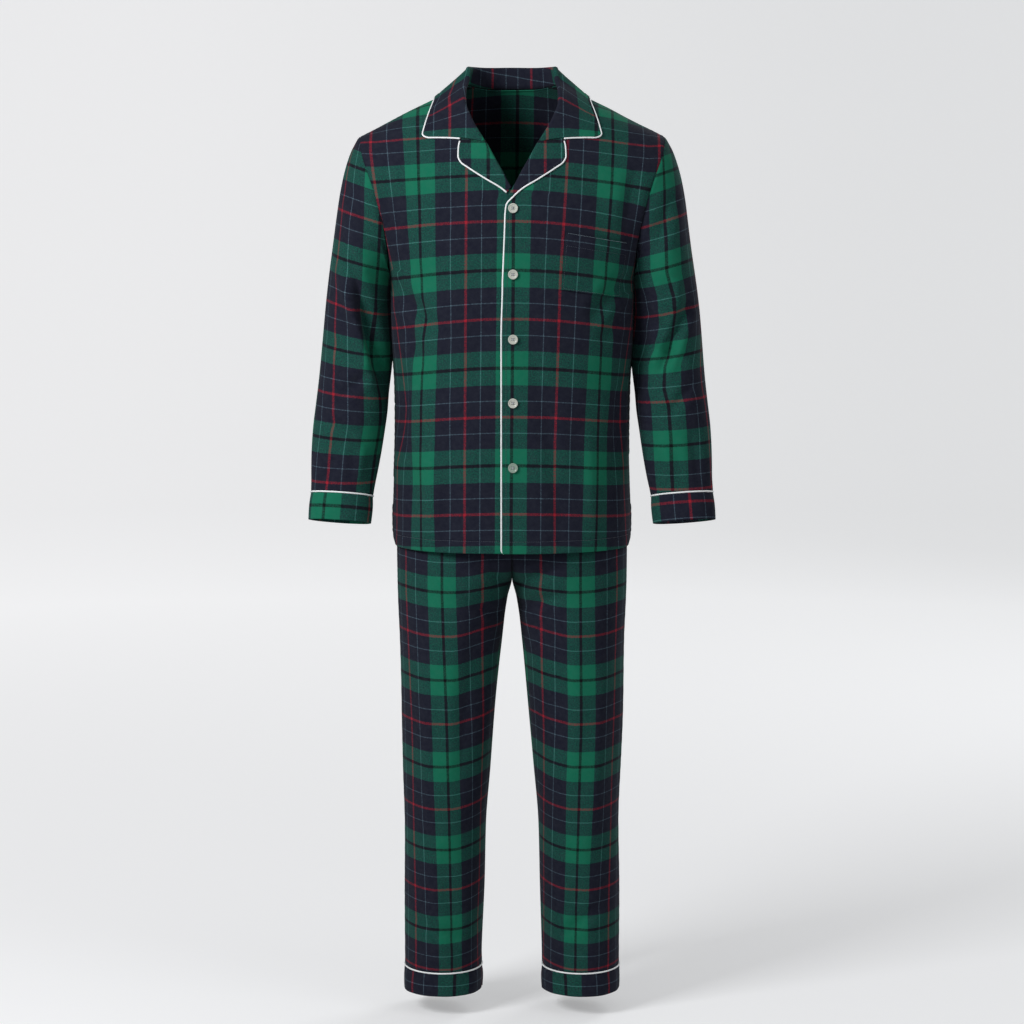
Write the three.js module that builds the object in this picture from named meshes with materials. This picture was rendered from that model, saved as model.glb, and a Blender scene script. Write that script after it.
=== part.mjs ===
import * as THREE from 'three';

// A men's pyjama set as it is worn: long-sleeved jacket over straight trousers.
// Millimetres. X runs to the wearer's left, the front faces -Y and Z is up. The origin is on the
// centre line, in the plane of the shoulder seams, 12 mm under the collar seam at the shoulder.

// Cloth and trim
const wall = 1.6;
const seamGap = 0.3;
const restGap = 0.6;
const lie = wall + restGap;
const pipingRadius = 1.5;
const pipingSides = 6;

// Shoulder and neck
const neckPoint = { x: 78.5, z: 12 };
const shoulderPoint = { x: 249, z: -73 };
const ridgeRound = 40;
const backNeckDrop = 0.29;
const chestDown = 300;
const jacketHemDown = 740;
const squareness = 2.3;
const armholeFront = 0.75;
const armholeBack = 0.8;

// The left front laps over the right one
const underlap = 3.2;
const underlapFades = { from: 15, to: 95, low: 0.3, high: 0.5 };

// Trousers
const crotchDown = 798;
const crotchCurve = 95;
const waistTopDown = 503;
const waistbandHeight = 36;
const trouserSeamDown = 1447;
const trouserBandHeight = 38;

// Sleeve bands
const cuffHeight = 46;

// Buttons
const buttonRadius = 7.8;
const buttonThickness = 3;
const buttonHole = { radius: 1, spacing: 3, sides: 6 };
const buttonX = 1.5;
const buttonDowns = [184, 289, 393, 495.5, 600];

// Colours
const flannelNavy = new THREE.MeshStandardMaterial({ color: 0x272f3d, roughness: 0.95, metalness: 0 });
const flannelGreen = new THREE.MeshStandardMaterial({ color: 0x1f6b50, roughness: 0.95, metalness: 0 });
const pipingWhite = new THREE.MeshStandardMaterial({ color: 0xeceff0, roughness: 0.8, metalness: 0 });
const buttonPearl = new THREE.MeshStandardMaterial({ color: 0xb8b7a4, roughness: 0.35, metalness: 0 });

// Half width, and depth in front of and behind the shoulder seams, down the jacket's body
const jacketBody = [
  { down: 300, half: 200, front: 138, back: 125 },
  { down: 388, half: 198, front: 141, back: 121 },
  { down: 478, half: 193, front: 141, back: 120 },
  { down: 560, half: 192.5, front: 141, back: 127 },
  { down: 640, half: 194, front: 142, back: 134 },
  { down: 702, half: 196, front: 143, back: 137 },
  { down: 726, half: 195.5, front: 142.5, back: 137 },
  { down: 740, half: 192.3, front: 141, back: 136 },
];

// How far out the armhole seam lies, from the underarm (rise 0) to the shoulder (rise 1)
const armholeSeam = [
  { rise: 0, out: 200 },
  { rise: 0.16, out: 202 },
  { rise: 0.34, out: 208 },
  { rise: 0.46, out: 215 },
  { rise: 0.6, out: 224 },
  { rise: 0.72, out: 233 },
  { rise: 0.86, out: 243 },
  { rise: 1, out: 249 },
];

// Where the front folds back: from the chest line up the front edge and the roll line to the shoulder
const rollLine = [
  { rise: 0, x: -13.6 },
  { rise: 0.128, x: -11.8 },
  { rise: 0.25, x: -10.2 },
  { rise: 0.325, x: -9.4 },
  { rise: 0.36, x: -7.6 },
  { rise: 0.395, x: -3.5 },
  { rise: 0.419, x: 0 },
  { rise: 0.5435, x: 24.5 },
  { rise: 0.68, x: 47.2 },
  { rise: 0.818, x: 69 },
  { rise: 0.911, x: 78 },
  { rise: 1, x: 78.5 },
];
const frontEdgeLow = { x: -15.7, from: 300, to: 390 };

// Half of the collar, from the middle of the back (around 0) to the gorge seam (around 1):
// the stand's height and lean at the fold, and the place of the outer edge on the body
const collarHalf = [
  { around: 0, height: 36, lean: 5, edgeX: 0, edgeTurn: 1.365 },
  { around: 0.1, height: 35.5, lean: 4, edgeX: 34, edgeTurn: 1.355 },
  { around: 0.2, height: 34, lean: 2, edgeX: 68, edgeTurn: 1.3 },
  { around: 0.3, height: 31, lean: -2.5, edgeX: 97, edgeTurn: 1.215 },
  { around: 0.37, height: 29, lean: -6, edgeX: 113, edgeTurn: 1.12 },
  { around: 0.43, height: 26, lean: -8, edgeX: 122, edgeTurn: 1 },
  { around: 0.5, height: 13, lean: -4, edgeX: 126, edgeTurn: 0.862 },
  { around: 0.6, height: 5, lean: 0, edgeX: 130.5, edgeTurn: 0.785 },
  { around: 0.75, height: 4.4, lean: 0, edgeX: 136, edgeTurn: 0.705 },
  { around: 1, height: 4.4, lean: 0, edgeX: 143.5, edgeTurn: 0.6 },
];
const collarSplit = 0.43;
const gorge = { turn: 0.476, notchX: 80.5 };
const foldRadius = 4.3;
const tipFoldRadius = 2;
const foldClearance = 1.1;
const shoulderEase = { lift: 1, from: 0.82, to: 0.98 };
const turnIn = 6;
const collarCorner = { radius: 14, endLength: 98, halfLength: 250 };

// The lapel: its outer edge beside each height of the roll line
const lapelEdge = [
  { rise: 0.645, x: 84, down: 88 },
  { rise: 0.615, x: 84.6, down: 102 },
  { rise: 0.6, x: 81, down: 110 },
  { rise: 0.575, x: 68, down: 119.5 },
  { rise: 0.53, x: 41, down: 136.5 },
  { rise: 0.475, x: 16.5, down: 151 },
  { rise: 0.43, x: 5.5, down: 160 },
  { rise: 0.4, x: 0.5, down: 165 },
];
const lapelTip = { left: 0.402, right: 0.438 };

// Pocket corners on the left front
const pocket = {
  top: { inner: 86, outer: 186, innerDown: 222, outerDown: 240 },
  bottom: { inner: 79, outer: 176, innerDown: 314, outerDown: 330 },
};

// Rings of a sleeve, from the armhole to the band: the ring's outermost and innermost points,
// its middle and half depth from front to back, how round it is and how far it pitches forward
const sleeveRings = [
  { outX: 249, outDown: 73, inX: 200, inDown: 300, y: 0, depth: 72, round: 0, pitch: 0 },
  { outX: 262, outDown: 97, inX: 202.6, inDown: 304, y: 0, depth: 74, round: 0.12, pitch: 0 },
  { outX: 272, outDown: 128, inX: 204, inDown: 309, y: 0, depth: 76, round: 0.35, pitch: 0 },
  { outX: 280, outDown: 165, inX: 205, inDown: 315, y: 0, depth: 77, round: 0.62, pitch: 0 },
  { outX: 287, outDown: 208, inX: 205.2, inDown: 323, y: 1, depth: 78, round: 0.85, pitch: 0 },
  { outX: 293.5, outDown: 252, inX: 205, inDown: 334, y: 2, depth: 78, round: 1, pitch: 0 },
  { outX: 300, outDown: 298, inX: 204.5, inDown: 350, y: 3, depth: 76, round: 1, pitch: 1 },
  { outX: 305.5, outDown: 346, inX: 203.5, inDown: 377, y: 3, depth: 73, round: 1, pitch: 3 },
  { outX: 310.5, outDown: 400, inX: 201.8, inDown: 418, y: 0, depth: 69, round: 1, pitch: 6 },
  { outX: 315.5, outDown: 454, inX: 200.5, inDown: 464, y: -8, depth: 65, round: 1, pitch: 8 },
  { outX: 320.5, outDown: 503, inX: 202.5, inDown: 510, y: -18, depth: 61, round: 1, pitch: 10 },
  { outX: 325, outDown: 550, inX: 209, inDown: 557, y: -28, depth: 55, round: 1, pitch: 11 },
  { outX: 327.5, outDown: 600, inX: 217.5, inDown: 607, y: -38, depth: 47, round: 1, pitch: 11 },
  { outX: 328.5, outDown: 648, inX: 227, inDown: 655, y: -47, depth: 39, round: 1, pitch: 11 },
];
const cuffLean = { x: 4, y: -9 };

// Half of the trousers: outermost and innermost points and the depth to the front and the back
const trouserHalf = [
  { down: 503, out: 166, in: 0, front: 108, back: 112 },
  { down: 560, out: 178, in: 0, front: 116, back: 121 },
  { down: 640, out: 186, in: 0, front: 122, back: 127 },
  { down: 740, out: 190.3, in: 0, front: 122, back: 127 },
  { down: 798, out: 189.5, in: 0, front: 115, back: 121 },
  { down: 826, out: 188.6, in: 8, front: 110, back: 115 },
  { down: 902, out: 185.5, in: 16.6, front: 106, back: 109 },
  { down: 1003, out: 184.3, in: 26.6, front: 102, back: 105 },
  { down: 1113, out: 180.8, in: 35.8, front: 98, back: 101 },
  { down: 1206, out: 178.5, in: 43.4, front: 93, back: 97 },
  { down: 1308, out: 179, in: 46, front: 86, back: 90 },
  { down: 1436, out: 179.3, in: 50, front: 78, back: 82 },
  { down: 1490, out: 180.5, in: 50.5, front: 76, back: 80 },
];

// Large soft folds: a trough or ridge (depth) along a line on a piece, of a width and a length
const sleeveFolds = [
  { theta: -78, row: 5.6, slant: -20, length: 3.2, width: 15, depth: -9 },
  { theta: -112, row: 6.2, slant: -22, length: 3, width: 16, depth: 6 },
  { theta: -60, row: 9.2, slant: 16, length: 2, width: 16, depth: -4 },
  { theta: 84, row: 6.2, slant: 20, length: 3, width: 18, depth: -7 },
  { theta: 118, row: 8, slant: 20, length: 2.6, width: 18, depth: -4.5 },
];
const bodyFolds = [
  { angle: 62, turn: -0.1, slant: 22, length: 0.5, width: 9, depth: -5 },
  { angle: 50, turn: -0.75, slant: -6, length: 0.35, width: 11, depth: 3 },
  { angle: 30, turn: -0.8, slant: 4, length: 0.3, width: 10, depth: -2.5 },
  { angle: 122, turn: 2.15, slant: 18, length: 0.5, width: 10, depth: -5 },
  { angle: 150, turn: 2.7, slant: -5, length: 0.4, width: 12, depth: 4 },
];

// Fineness of the meshes
const fine = {
  bodyRowsLow: 9, bodyRowsHigh: 10, frontColumns: 12, sleeveColumns: 22, sleeveRows: 16,
  collarHalfSteps: 15, lapelRows: 10, legRows: 17, legColumns: 8, ringColumns: 22,
};

const clamp = (value, low, high) => Math.min(high, Math.max(low, value));
const mix = (from, to, share) => from + (to - from) * share;
const smooth = (from, to, value) => {
  const share = clamp((value - from) / (to - from), 0, 1);
  return share * share * (3 - 2 * share);
};
const radians = THREE.MathUtils.degToRad;
const quarter = Math.PI / 2;
const mixed = (a, b, share) => a.clone().lerp(b, share);

// A smooth value out of a table: it meets every row and never overshoots one
function column(rows, key, name) {
  const at = rows.map((row) => row[key]);
  const value = rows.map((row) => row[name]);
  const step = rows.slice(1).map((_, i) => (value[i + 1] - value[i]) / (at[i + 1] - at[i]));
  const slope = rows.map((_, i) => {
    const before = step[Math.max(i - 1, 0)];
    const after = step[Math.min(i, step.length - 1)];
    return before * after <= 0 ? 0 : (2 * before * after) / (before + after);
  });
  return (place) => {
    const inside = clamp(place, at[0], at[at.length - 1]);
    const i = clamp(at.findIndex((a) => a > inside) - 1, 0, at.length - 2);
    const last = inside >= at[at.length - 1] ? at.length - 2 : i;
    const width = at[last + 1] - at[last];
    const t = (inside - at[last]) / width;
    const back = t - 1;
    return value[last] * (1 + 2 * t) * back * back + slope[last] * width * t * back * back
      + value[last + 1] * t * t * (3 - 2 * t) + slope[last + 1] * width * t * t * back;
  };
}

// Every column of a table, read by one key
function table(rows, key) {
  const names = Object.keys(rows[0]).filter((name) => name !== key);
  return Object.fromEntries(names.map((name) => [name, column(rows, key, name)]));
}

const body = table(jacketBody, 'down');
const armhole = table(armholeSeam, 'rise');
const roll = table(rollLine, 'rise');
const collarAt = table(collarHalf, 'around');
const sleeveAt = table(sleeveRings.map((ring, step) => ({ ...ring, step })), 'step');
const trouserAt = table(trouserHalf, 'down');

// Height of the shoulder seam above the origin
const ridgeReach = (x) => Math.hypot(x, ridgeRound);
const ridgeSlope = (neckPoint.z - shoulderPoint.z) / (ridgeReach(shoulderPoint.x) - ridgeReach(neckPoint.x));
const ridge = (x) => neckPoint.z - ridgeSlope * (ridgeReach(x) - ridgeReach(neckPoint.x));

// The turn runs from the front hem (-1) over the chest (0), the shoulder (1) and the back's chest
// line (2) to the back hem (3); the angle runs from the middle (0) to the side (90 degrees)
const levelOf = (turn) => (turn <= 1 ? turn : 2 - turn);
const downOf = (level) => mix(chestDown, jacketHemDown, -level);
const riseOf = (level) => Math.sin(Math.max(level, 0) * quarter);
const edgeOf = (level) => (level <= 0 ? body.half(downOf(level)) : armhole.out(riseOf(level)));

function angleOf(x, turn) {
  const across = clamp(Math.abs(x) / edgeOf(levelOf(turn)), 0, 1);
  return Math.sign(x) * Math.asin(across ** (squareness / 2));
}

function foldSum(folds, u, v, unit) {
  return folds.reduce((sum, fold) => {
    const along = (v - fold[unit.v]) / fold.length;
    const across = (u - fold[unit.u] - fold.slant * along) / fold.width;
    const reach = Math.max(0, 1 - along * along);
    return sum + fold.depth * reach * reach * Math.exp(-across * across);
  }, 0);
}

function bodyPoint(angle, turn) {
  const level = levelOf(turn);
  const face = turn <= 1 ? -1 : 1;
  const across = Math.abs(Math.sin(angle)) ** (2 / squareness);
  const x = Math.sign(angle) * edgeOf(level) * across;
  const depthAt = face < 0 ? body.front : body.back;
  const aroundDegrees = THREE.MathUtils.radToDeg(face < 0 ? Math.abs(angle) : Math.PI - Math.abs(angle));
  const fold = foldSum(bodyFolds, aroundDegrees, turn, { u: 'angle', v: 'turn' });
  const outward = new THREE.Vector3(Math.sin(angle), face * Math.cos(angle), 0).multiplyScalar(fold);
  if (level <= 0) {
    const down = downOf(level);
    const share = Math.max(0, 1 - across ** squareness) ** (1 / squareness);
    return new THREE.Vector3(x, face * depthAt(down) * share, -down).add(outward);
  }
  const reach = (face < 0 ? armholeFront : armholeBack) * Math.sqrt(1 - (1 - level) ** 3);
  const wide = edgeOf(level) / (1 - reach ** squareness) ** (1 / squareness);
  const share = Math.max(0, 1 - (Math.abs(x) / wide) ** squareness) ** (1 / squareness);
  const depth = depthAt(chestDown) * Math.cos(level * quarter);
  const z = -chestDown + (ridge(x) + chestDown) * riseOf(level);
  return new THREE.Vector3(x, face * depth * share, z).add(outward);
}

// The way out of a surface, from small steps on it
function normalOf(place, u, v, low, high, stepU = 1e-3, stepV = 1e-3) {
  const uA = Math.max(u - stepU, low.u);
  const uB = Math.min(u + stepU, high.u);
  const vA = Math.max(v - stepV, low.v);
  const vB = Math.min(v + stepV, high.v);
  const alongU = place(uB, v).sub(place(uA, v));
  const alongV = place(u, vB).sub(place(u, vA));
  return alongU.cross(alongV).normalize();
}

const bodyLow = { u: -quarter, v: -1 };
const bodyHigh = { u: quarter, v: 3 };
const bodyNormal = (angle, turn) => normalOf(bodyPoint, angle, turn, bodyLow, bodyHigh);

// A place on the jacket's body by its distance from the centre line, raised off the cloth
function onBody(x, turn, lift = 0, sunk = 0) {
  const angle = angleOf(x, turn);
  const point = bodyPoint(angle, turn);
  point.y += sunk;
  return lift === 0 ? point : point.addScaledVector(bodyNormal(angle, turn), lift);
}

function frontTurn(x, down) {
  if (down >= chestDown) {
    return -(down - chestDown) / (jacketHemDown - chestDown);
  }
  return Math.asin((chestDown - down) / (ridge(x) + chestDown)) / quarter;
}

// The right front lies lower near the middle, where the left front laps over it
function sunkAt(side, x, turn) {
  if (side > 0) {
    return 0;
  }
  const sideways = 1 - smooth(underlapFades.from, underlapFades.to, x);
  const { low, high } = underlapFades;
  return underlap * sideways * clamp((high - turn) / (high - low), 0, 1);
}
const onFront = (side, x, turn, lift = 0) => onBody(x, turn, lift, sunkAt(side, x, turn));

// A closed solid from an outer and an inner grid of points; loops close round the first index
function solid(outer, inner, loop) {
  const columns = outer.length;
  const rows = outer[0].length;
  const positions = [];
  const indices = [];
  [outer, inner].forEach((grid) => grid.forEach((line) => line.forEach((p) => positions.push(p.x, p.y, p.z))));
  const at = (layer, i, j) => layer * columns * rows + (i % columns) * rows + j;
  const quad = (a, b, c, d) => indices.push(a, b, c, a, c, d);
  const lastColumn = loop ? columns : columns - 1;
  for (let i = 0; i < lastColumn; i += 1) {
    for (let j = 0; j < rows - 1; j += 1) {
      quad(at(0, i, j), at(0, i + 1, j), at(0, i + 1, j + 1), at(0, i, j + 1));
      quad(at(1, i, j), at(1, i, j + 1), at(1, i + 1, j + 1), at(1, i + 1, j));
    }
    quad(at(0, i, 0), at(1, i, 0), at(1, i + 1, 0), at(0, i + 1, 0));
    quad(at(0, i, rows - 1), at(0, i + 1, rows - 1), at(1, i + 1, rows - 1), at(1, i, rows - 1));
  }
  if (!loop) {
    for (let j = 0; j < rows - 1; j += 1) {
      quad(at(0, 0, j), at(0, 0, j + 1), at(1, 0, j + 1), at(1, 0, j));
      quad(at(0, columns - 1, j), at(1, columns - 1, j), at(1, columns - 1, j + 1), at(0, columns - 1, j + 1));
    }
  }
  return outwardGeometry(positions, indices);
}

function outwardGeometry(positions, indices) {
  const corner = (k) => new THREE.Vector3().fromArray(positions, indices[k] * 3);
  let volume = 0;
  for (let k = 0; k < indices.length; k += 3) {
    volume += corner(k).dot(corner(k + 1).cross(corner(k + 2)));
  }
  if (volume < 0) {
    indices.reverse();
  }
  const geometry = new THREE.BufferGeometry();
  geometry.setAttribute('position', new THREE.Float32BufferAttribute(positions, 3));
  geometry.setIndex(indices);
  return geometry;
}

const steps = (count) => Array.from({ length: count + 1 }, (_, i) => i / count);

// A wall of cloth over place(u, v), with its edges drawn back from the seams beside it
function sheet({ us, vs, place, facing, thickness = wall, trim = seamGap / 2 }) {
  const low = { u: us[0], v: vs[0] };
  const high = { u: us[us.length - 1], v: vs[vs.length - 1] };
  const middle = [us[us.length >> 1], vs[vs.length >> 1]];
  const turned = normalOf(place, ...middle, low, high).dot(facing) < 0 ? -1 : 1;
  const outer = us.map((u) => vs.map((v) => place(u, v)));
  const normals = us.map((u) => vs.map((v) => normalOf(place, u, v, low, high).multiplyScalar(turned)));
  const inner = outer.map((line, i) => line.map((p, j) => p.clone().addScaledVector(normals[i][j], -thickness)));
  const lastU = us.length - 1;
  const lastV = vs.length - 1;
  [outer, inner].forEach((grid) => {
    const draw = (i, j, toI, toJ) => {
      const step = grid[toI][toJ].clone().sub(grid[i][j]).setLength(trim);
      return () => grid[i][j].add(step);
    };
    const moves = [];
    us.forEach((_, i) => moves.push(draw(i, 0, i, 1), draw(i, lastV, i, lastV - 1)));
    vs.forEach((_, j) => moves.push(draw(0, j, 1, j), draw(lastU, j, lastU - 1, j)));
    moves.forEach((move) => move());
  });
  return solid(outer, inner, false);
}

// A tube of cloth over place(theta, v); its two end rings are cut square to the tube
function tube({ columns, vs, place, thickness = wall, trim = seamGap / 2 }) {
  const thetas = Array.from({ length: columns }, (_, i) => -Math.PI + (2 * Math.PI * i) / columns);
  const low = { u: -10, v: vs[0] };
  const high = { u: 10, v: vs[vs.length - 1] };
  const outer = thetas.map((theta) => vs.map((v) => place(theta, v)));
  const lastV = vs.length - 1;
  const centres = vs.map((_, j) => outer.reduce((sum, line) => sum.add(line[j]), new THREE.Vector3())
    .divideScalar(columns));
  const ringAxis = (j) => {
    const across = outer[0][j].clone().sub(outer[columns >> 1][j]);
    const along = outer[columns >> 2][j].clone().sub(outer[(columns * 3) >> 2][j]);
    return across.cross(along).normalize();
  };
  const inner = outer.map((line, i) => line.map((p, j) => {
    const normal = normalOf(place, thetas[i], vs[j], low, high);
    if (normal.dot(p.clone().sub(centres[j])) < 0) {
      normal.negate();
    }
    if (j === 0 || j === lastV) {
      const axis = ringAxis(j);
      normal.addScaledVector(axis, -normal.dot(axis)).normalize();
    }
    return p.clone().addScaledVector(normal, -thickness);
  }));
  [[0, 1], [lastV, lastV - 1]].forEach(([end, next]) => {
    const move = centres[next].clone().sub(centres[end]).setLength(trim);
    outer.forEach((_, i) => [outer, inner].forEach((grid) => grid[i][end].add(move)));
  });
  return solid(outer, inner, true);
}

// A round cord along points, closed into a ring or with flat ends
function cord(points, closed, radius = pipingRadius) {
  const count = points.length;
  const tangentAt = (i) => {
    const before = closed ? points[(i + count - 1) % count] : points[Math.max(i - 1, 0)];
    const after = closed ? points[(i + 1) % count] : points[Math.min(i + 1, count - 1)];
    return after.clone().sub(before).normalize();
  };
  const positions = [];
  const indices = [];
  let side = new THREE.Vector3(0.31, 0.22, 1).cross(tangentAt(0)).normalize();
  points.forEach((point, i) => {
    const tangent = tangentAt(i);
    side = side.clone().addScaledVector(tangent, -side.dot(tangent)).normalize();
    const other = tangent.clone().cross(side);
    for (let k = 0; k < pipingSides; k += 1) {
      const angle = (2 * Math.PI * k) / pipingSides;
      const spoke = side.clone().multiplyScalar(Math.cos(angle)).addScaledVector(other, Math.sin(angle));
      const p = point.clone().addScaledVector(spoke, radius);
      positions.push(p.x, p.y, p.z);
    }
  });
  const at = (i, k) => (i % count) * pipingSides + (k % pipingSides);
  for (let i = 0; i < (closed ? count : count - 1); i += 1) {
    for (let k = 0; k < pipingSides; k += 1) {
      indices.push(at(i, k), at(i, k + 1), at(i + 1, k + 1), at(i, k), at(i + 1, k + 1), at(i + 1, k));
    }
  }
  if (!closed) {
    for (let k = 1; k < pipingSides - 1; k += 1) {
      indices.push(at(0, 0), at(0, k + 1), at(0, k));
      indices.push(at(count - 1, 0), at(count - 1, k), at(count - 1, k + 1));
    }
  }
  return outwardGeometry(positions, indices);
}

const mirror = (side, point) => {
  point.x *= side;
  return point;
};

const frontward = new THREE.Vector3(0, -1, 0);
const backward = new THREE.Vector3(0, 1, 0);

// Rows of the body: even steps below the chest line and even turns above it
const lowRows = steps(fine.bodyRowsLow).slice(0, -1).map((share) => -1 + share);
const hemRow = -1 + (jacketHemDown - 726) / (jacketHemDown - chestDown);
const besideLapel = [0.35, 0.45, 0.55, 0.65];
const highRows = [...steps(fine.bodyRowsHigh), ...besideLapel].sort((a, b) => a - b);
const bodyRows = [-1, hemRow, ...lowRows.slice(1), ...highRows];

// Jacket fronts
function frontEdgeX(level) {
  const low = smooth(frontEdgeLow.from, frontEdgeLow.to, downOf(Math.min(level, 0)));
  return level > 0 ? roll.x(riseOf(level)) : mix(roll.x(0), frontEdgeLow.x, low);
}
function front(side) {
  const place = (share, level) => {
    const angle = mix(angleOf(frontEdgeX(level), level), quarter, share);
    const point = bodyPoint(angle, level);
    point.y += sunkAt(side, point.x, level);
    return mirror(side, point);
  };
  return sheet({ us: steps(fine.frontColumns), vs: bodyRows, place, facing: frontward });
}

// Back panel: its top edge is the two shoulder seams and the neckline between them
const backTopTurn = (angle) => {
  const x = Math.abs(Math.sin(angle)) ** (2 / squareness) * shoulderPoint.x;
  return x < neckPoint.x ? 1 + backNeckDrop * Math.sqrt(1 - (x / neckPoint.x) ** 2) : 1;
};
function back() {
  const neckAngle = Math.asin((neckPoint.x / shoulderPoint.x) ** (squareness / 2));
  const beside = steps(6).map((share) => mix(neckAngle, quarter, share));
  const inside = [0, 0.5, 0.82].map((share) => share * neckAngle);
  const half = [...inside, ...beside];
  const us = [...half.slice(1).reverse().map((angle) => -angle), ...half];
  const place = (angle, level) => bodyPoint(angle, level <= 0 ? 2 - level : mix(2, backTopTurn(angle), level));
  return sheet({ us, vs: bodyRows, place, facing: backward });
}

// Sleeves: the first ring is the armhole seam, the next ones round off to the table's ellipses
function sleevePoint(side, theta, step) {
  const ring = Object.fromEntries(Object.keys(sleeveAt).map((name) => [name, sleeveAt[name](step)]));
  const turn = 1 + theta / Math.PI;
  const seam = bodyPoint(quarter, turn);
  const high = new THREE.Vector3(shoulderPoint.x, 0, shoulderPoint.z);
  const low = new THREE.Vector3(edgeOf(0), 0, -chestDown);
  const chord = mixed(low, high, (1 + Math.cos(theta)) / 2);
  const bulge = seam.clone().sub(chord).multiplyScalar(1 - ring.round);
  const outermost = new THREE.Vector3(ring.outX, ring.y, -ring.outDown);
  const innermost = new THREE.Vector3(ring.inX, ring.y, -ring.inDown);
  const point = mixed(innermost, outermost, (1 + Math.cos(theta)) / 2).add(bulge);
  const reach = ring.depth * Math.sin(theta) * ring.round;
  point.y += reach;
  point.z -= reach * Math.tan(radians(ring.pitch));
  const fold = foldSum(sleeveFolds, THREE.MathUtils.radToDeg(theta), step, { u: 'theta', v: 'row' });
  point.x += fold * Math.cos(theta);
  point.y += fold * Math.sin(theta);
  point.x += seamGap * (1 - ring.round);
  return mirror(side, point);
}

const lastRing = sleeveRings.length - 1;
function sleeve(side) {
  const vs = steps(fine.sleeveRows).map((share) => share * lastRing);
  return tube({ columns: fine.sleeveColumns, vs, place: (theta, step) => sleevePoint(side, theta, step) });
}

// The band below the sleeve: a ring drawn on along the forearm
function cuffPoint(side, theta, down) {
  const share = down / cuffHeight;
  const point = sleevePoint(side, theta, lastRing);
  point.x += side * cuffLean.x * share;
  point.y += cuffLean.y * share;
  point.z -= down;
  return point;
}
const pipingSeat = 2 * pipingRadius + seamGap;
function cuff(side) {
  const vs = [pipingSeat, cuffHeight / 2, cuffHeight];
  return tube({ columns: fine.ringColumns, vs, place: (theta, down) => cuffPoint(side, theta, down) });
}

// Piping in the seam between a tube and its band
function ringPiping(place) {
  const count = fine.ringColumns;
  return cord(Array.from({ length: count }, (_, i) => place((2 * Math.PI * i) / count)), true);
}
const seamMiddle = pipingSeat / 2;
const cuffPiping = (side) => ringPiping((theta) => cuffPoint(side, theta, seamMiddle));

// The neck edge that the collar is sewn to, half of it from the middle of the back to the gorge
function neckEdge(around) {
  if (around <= collarSplit) {
    const swing = (around / collarSplit) * quarter;
    return { x: neckPoint.x * Math.sin(swing), turn: 1 + backNeckDrop * Math.cos(swing) };
  }
  const turn = mix(1, gorge.turn, (around - collarSplit) / (1 - collarSplit));
  return { x: roll.x(riseOf(turn)), turn };
}

// The way out of the neck along the cloth, and the way off the cloth, at a place on the neck edge
function foldFrame(edge, tangent, around) {
  const normal = bodyNormal(angleOf(edge.x, edge.turn), edge.turn);
  const inward = tangent.clone().cross(normal).normalize();
  if (inward.x > 0) {
    inward.negate();
  }
  const swing = clamp(around / collarSplit, 0, 1) * quarter;
  const flat = smooth(collarSplit, 0.66, around);
  const up = mixed(new THREE.Vector3(0, 0, 1), inward, flat).normalize();
  const off = mixed(new THREE.Vector3(Math.sin(swing), Math.cos(swing), 0), normal, flat);
  off.addScaledVector(up, -off.dot(up)).normalize();
  return { up, off, flat };
}

// The stations of a folded piece: the fall's outer edge (0) over the fold (4 to 6) to its end (8)
const foldStations = [1, 0.75, 0.5, 0.25];
function foldSection({ seat, up, off, radius, height, lean, standDrop, standIn, fall }) {
  const crest = seat.clone().addScaledVector(up, height).addScaledVector(off, lean);
  const shoulder = crest.clone().addScaledVector(up, -radius);
  const outside = shoulder.clone().addScaledVector(off, radius);
  const inside = shoulder.clone().addScaledVector(off, -radius);
  const foot = seat.clone().addScaledVector(up, standDrop).addScaledVector(off, -standIn);
  const falls = foldStations.map((share) => fall(share, outside));
  return [...falls, outside, crest, inside, mixed(inside, foot, 0.5), foot];
}
const along = (points, k) => {
  const i = clamp(Math.floor(k), 0, points.length - 2);
  return mixed(points[i], points[i + 1], k - i);
};

// A square corner of the (end, edge) distances turned into an arc
function roundCorner(end, edge, radius) {
  const a = radius - end;
  const b = radius - edge;
  if (a <= 0 || b <= 0) {
    return { end, edge };
  }
  const share = Math.max(a, b) / Math.hypot(a, b);
  return { end: radius - a * share, edge: radius - b * share };
}

// The collar lies a little higher over the shoulder and the back
const easedLie = (turn) => lie + shoulderEase.lift * smooth(shoulderEase.from, shoulderEase.to, turn);

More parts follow.
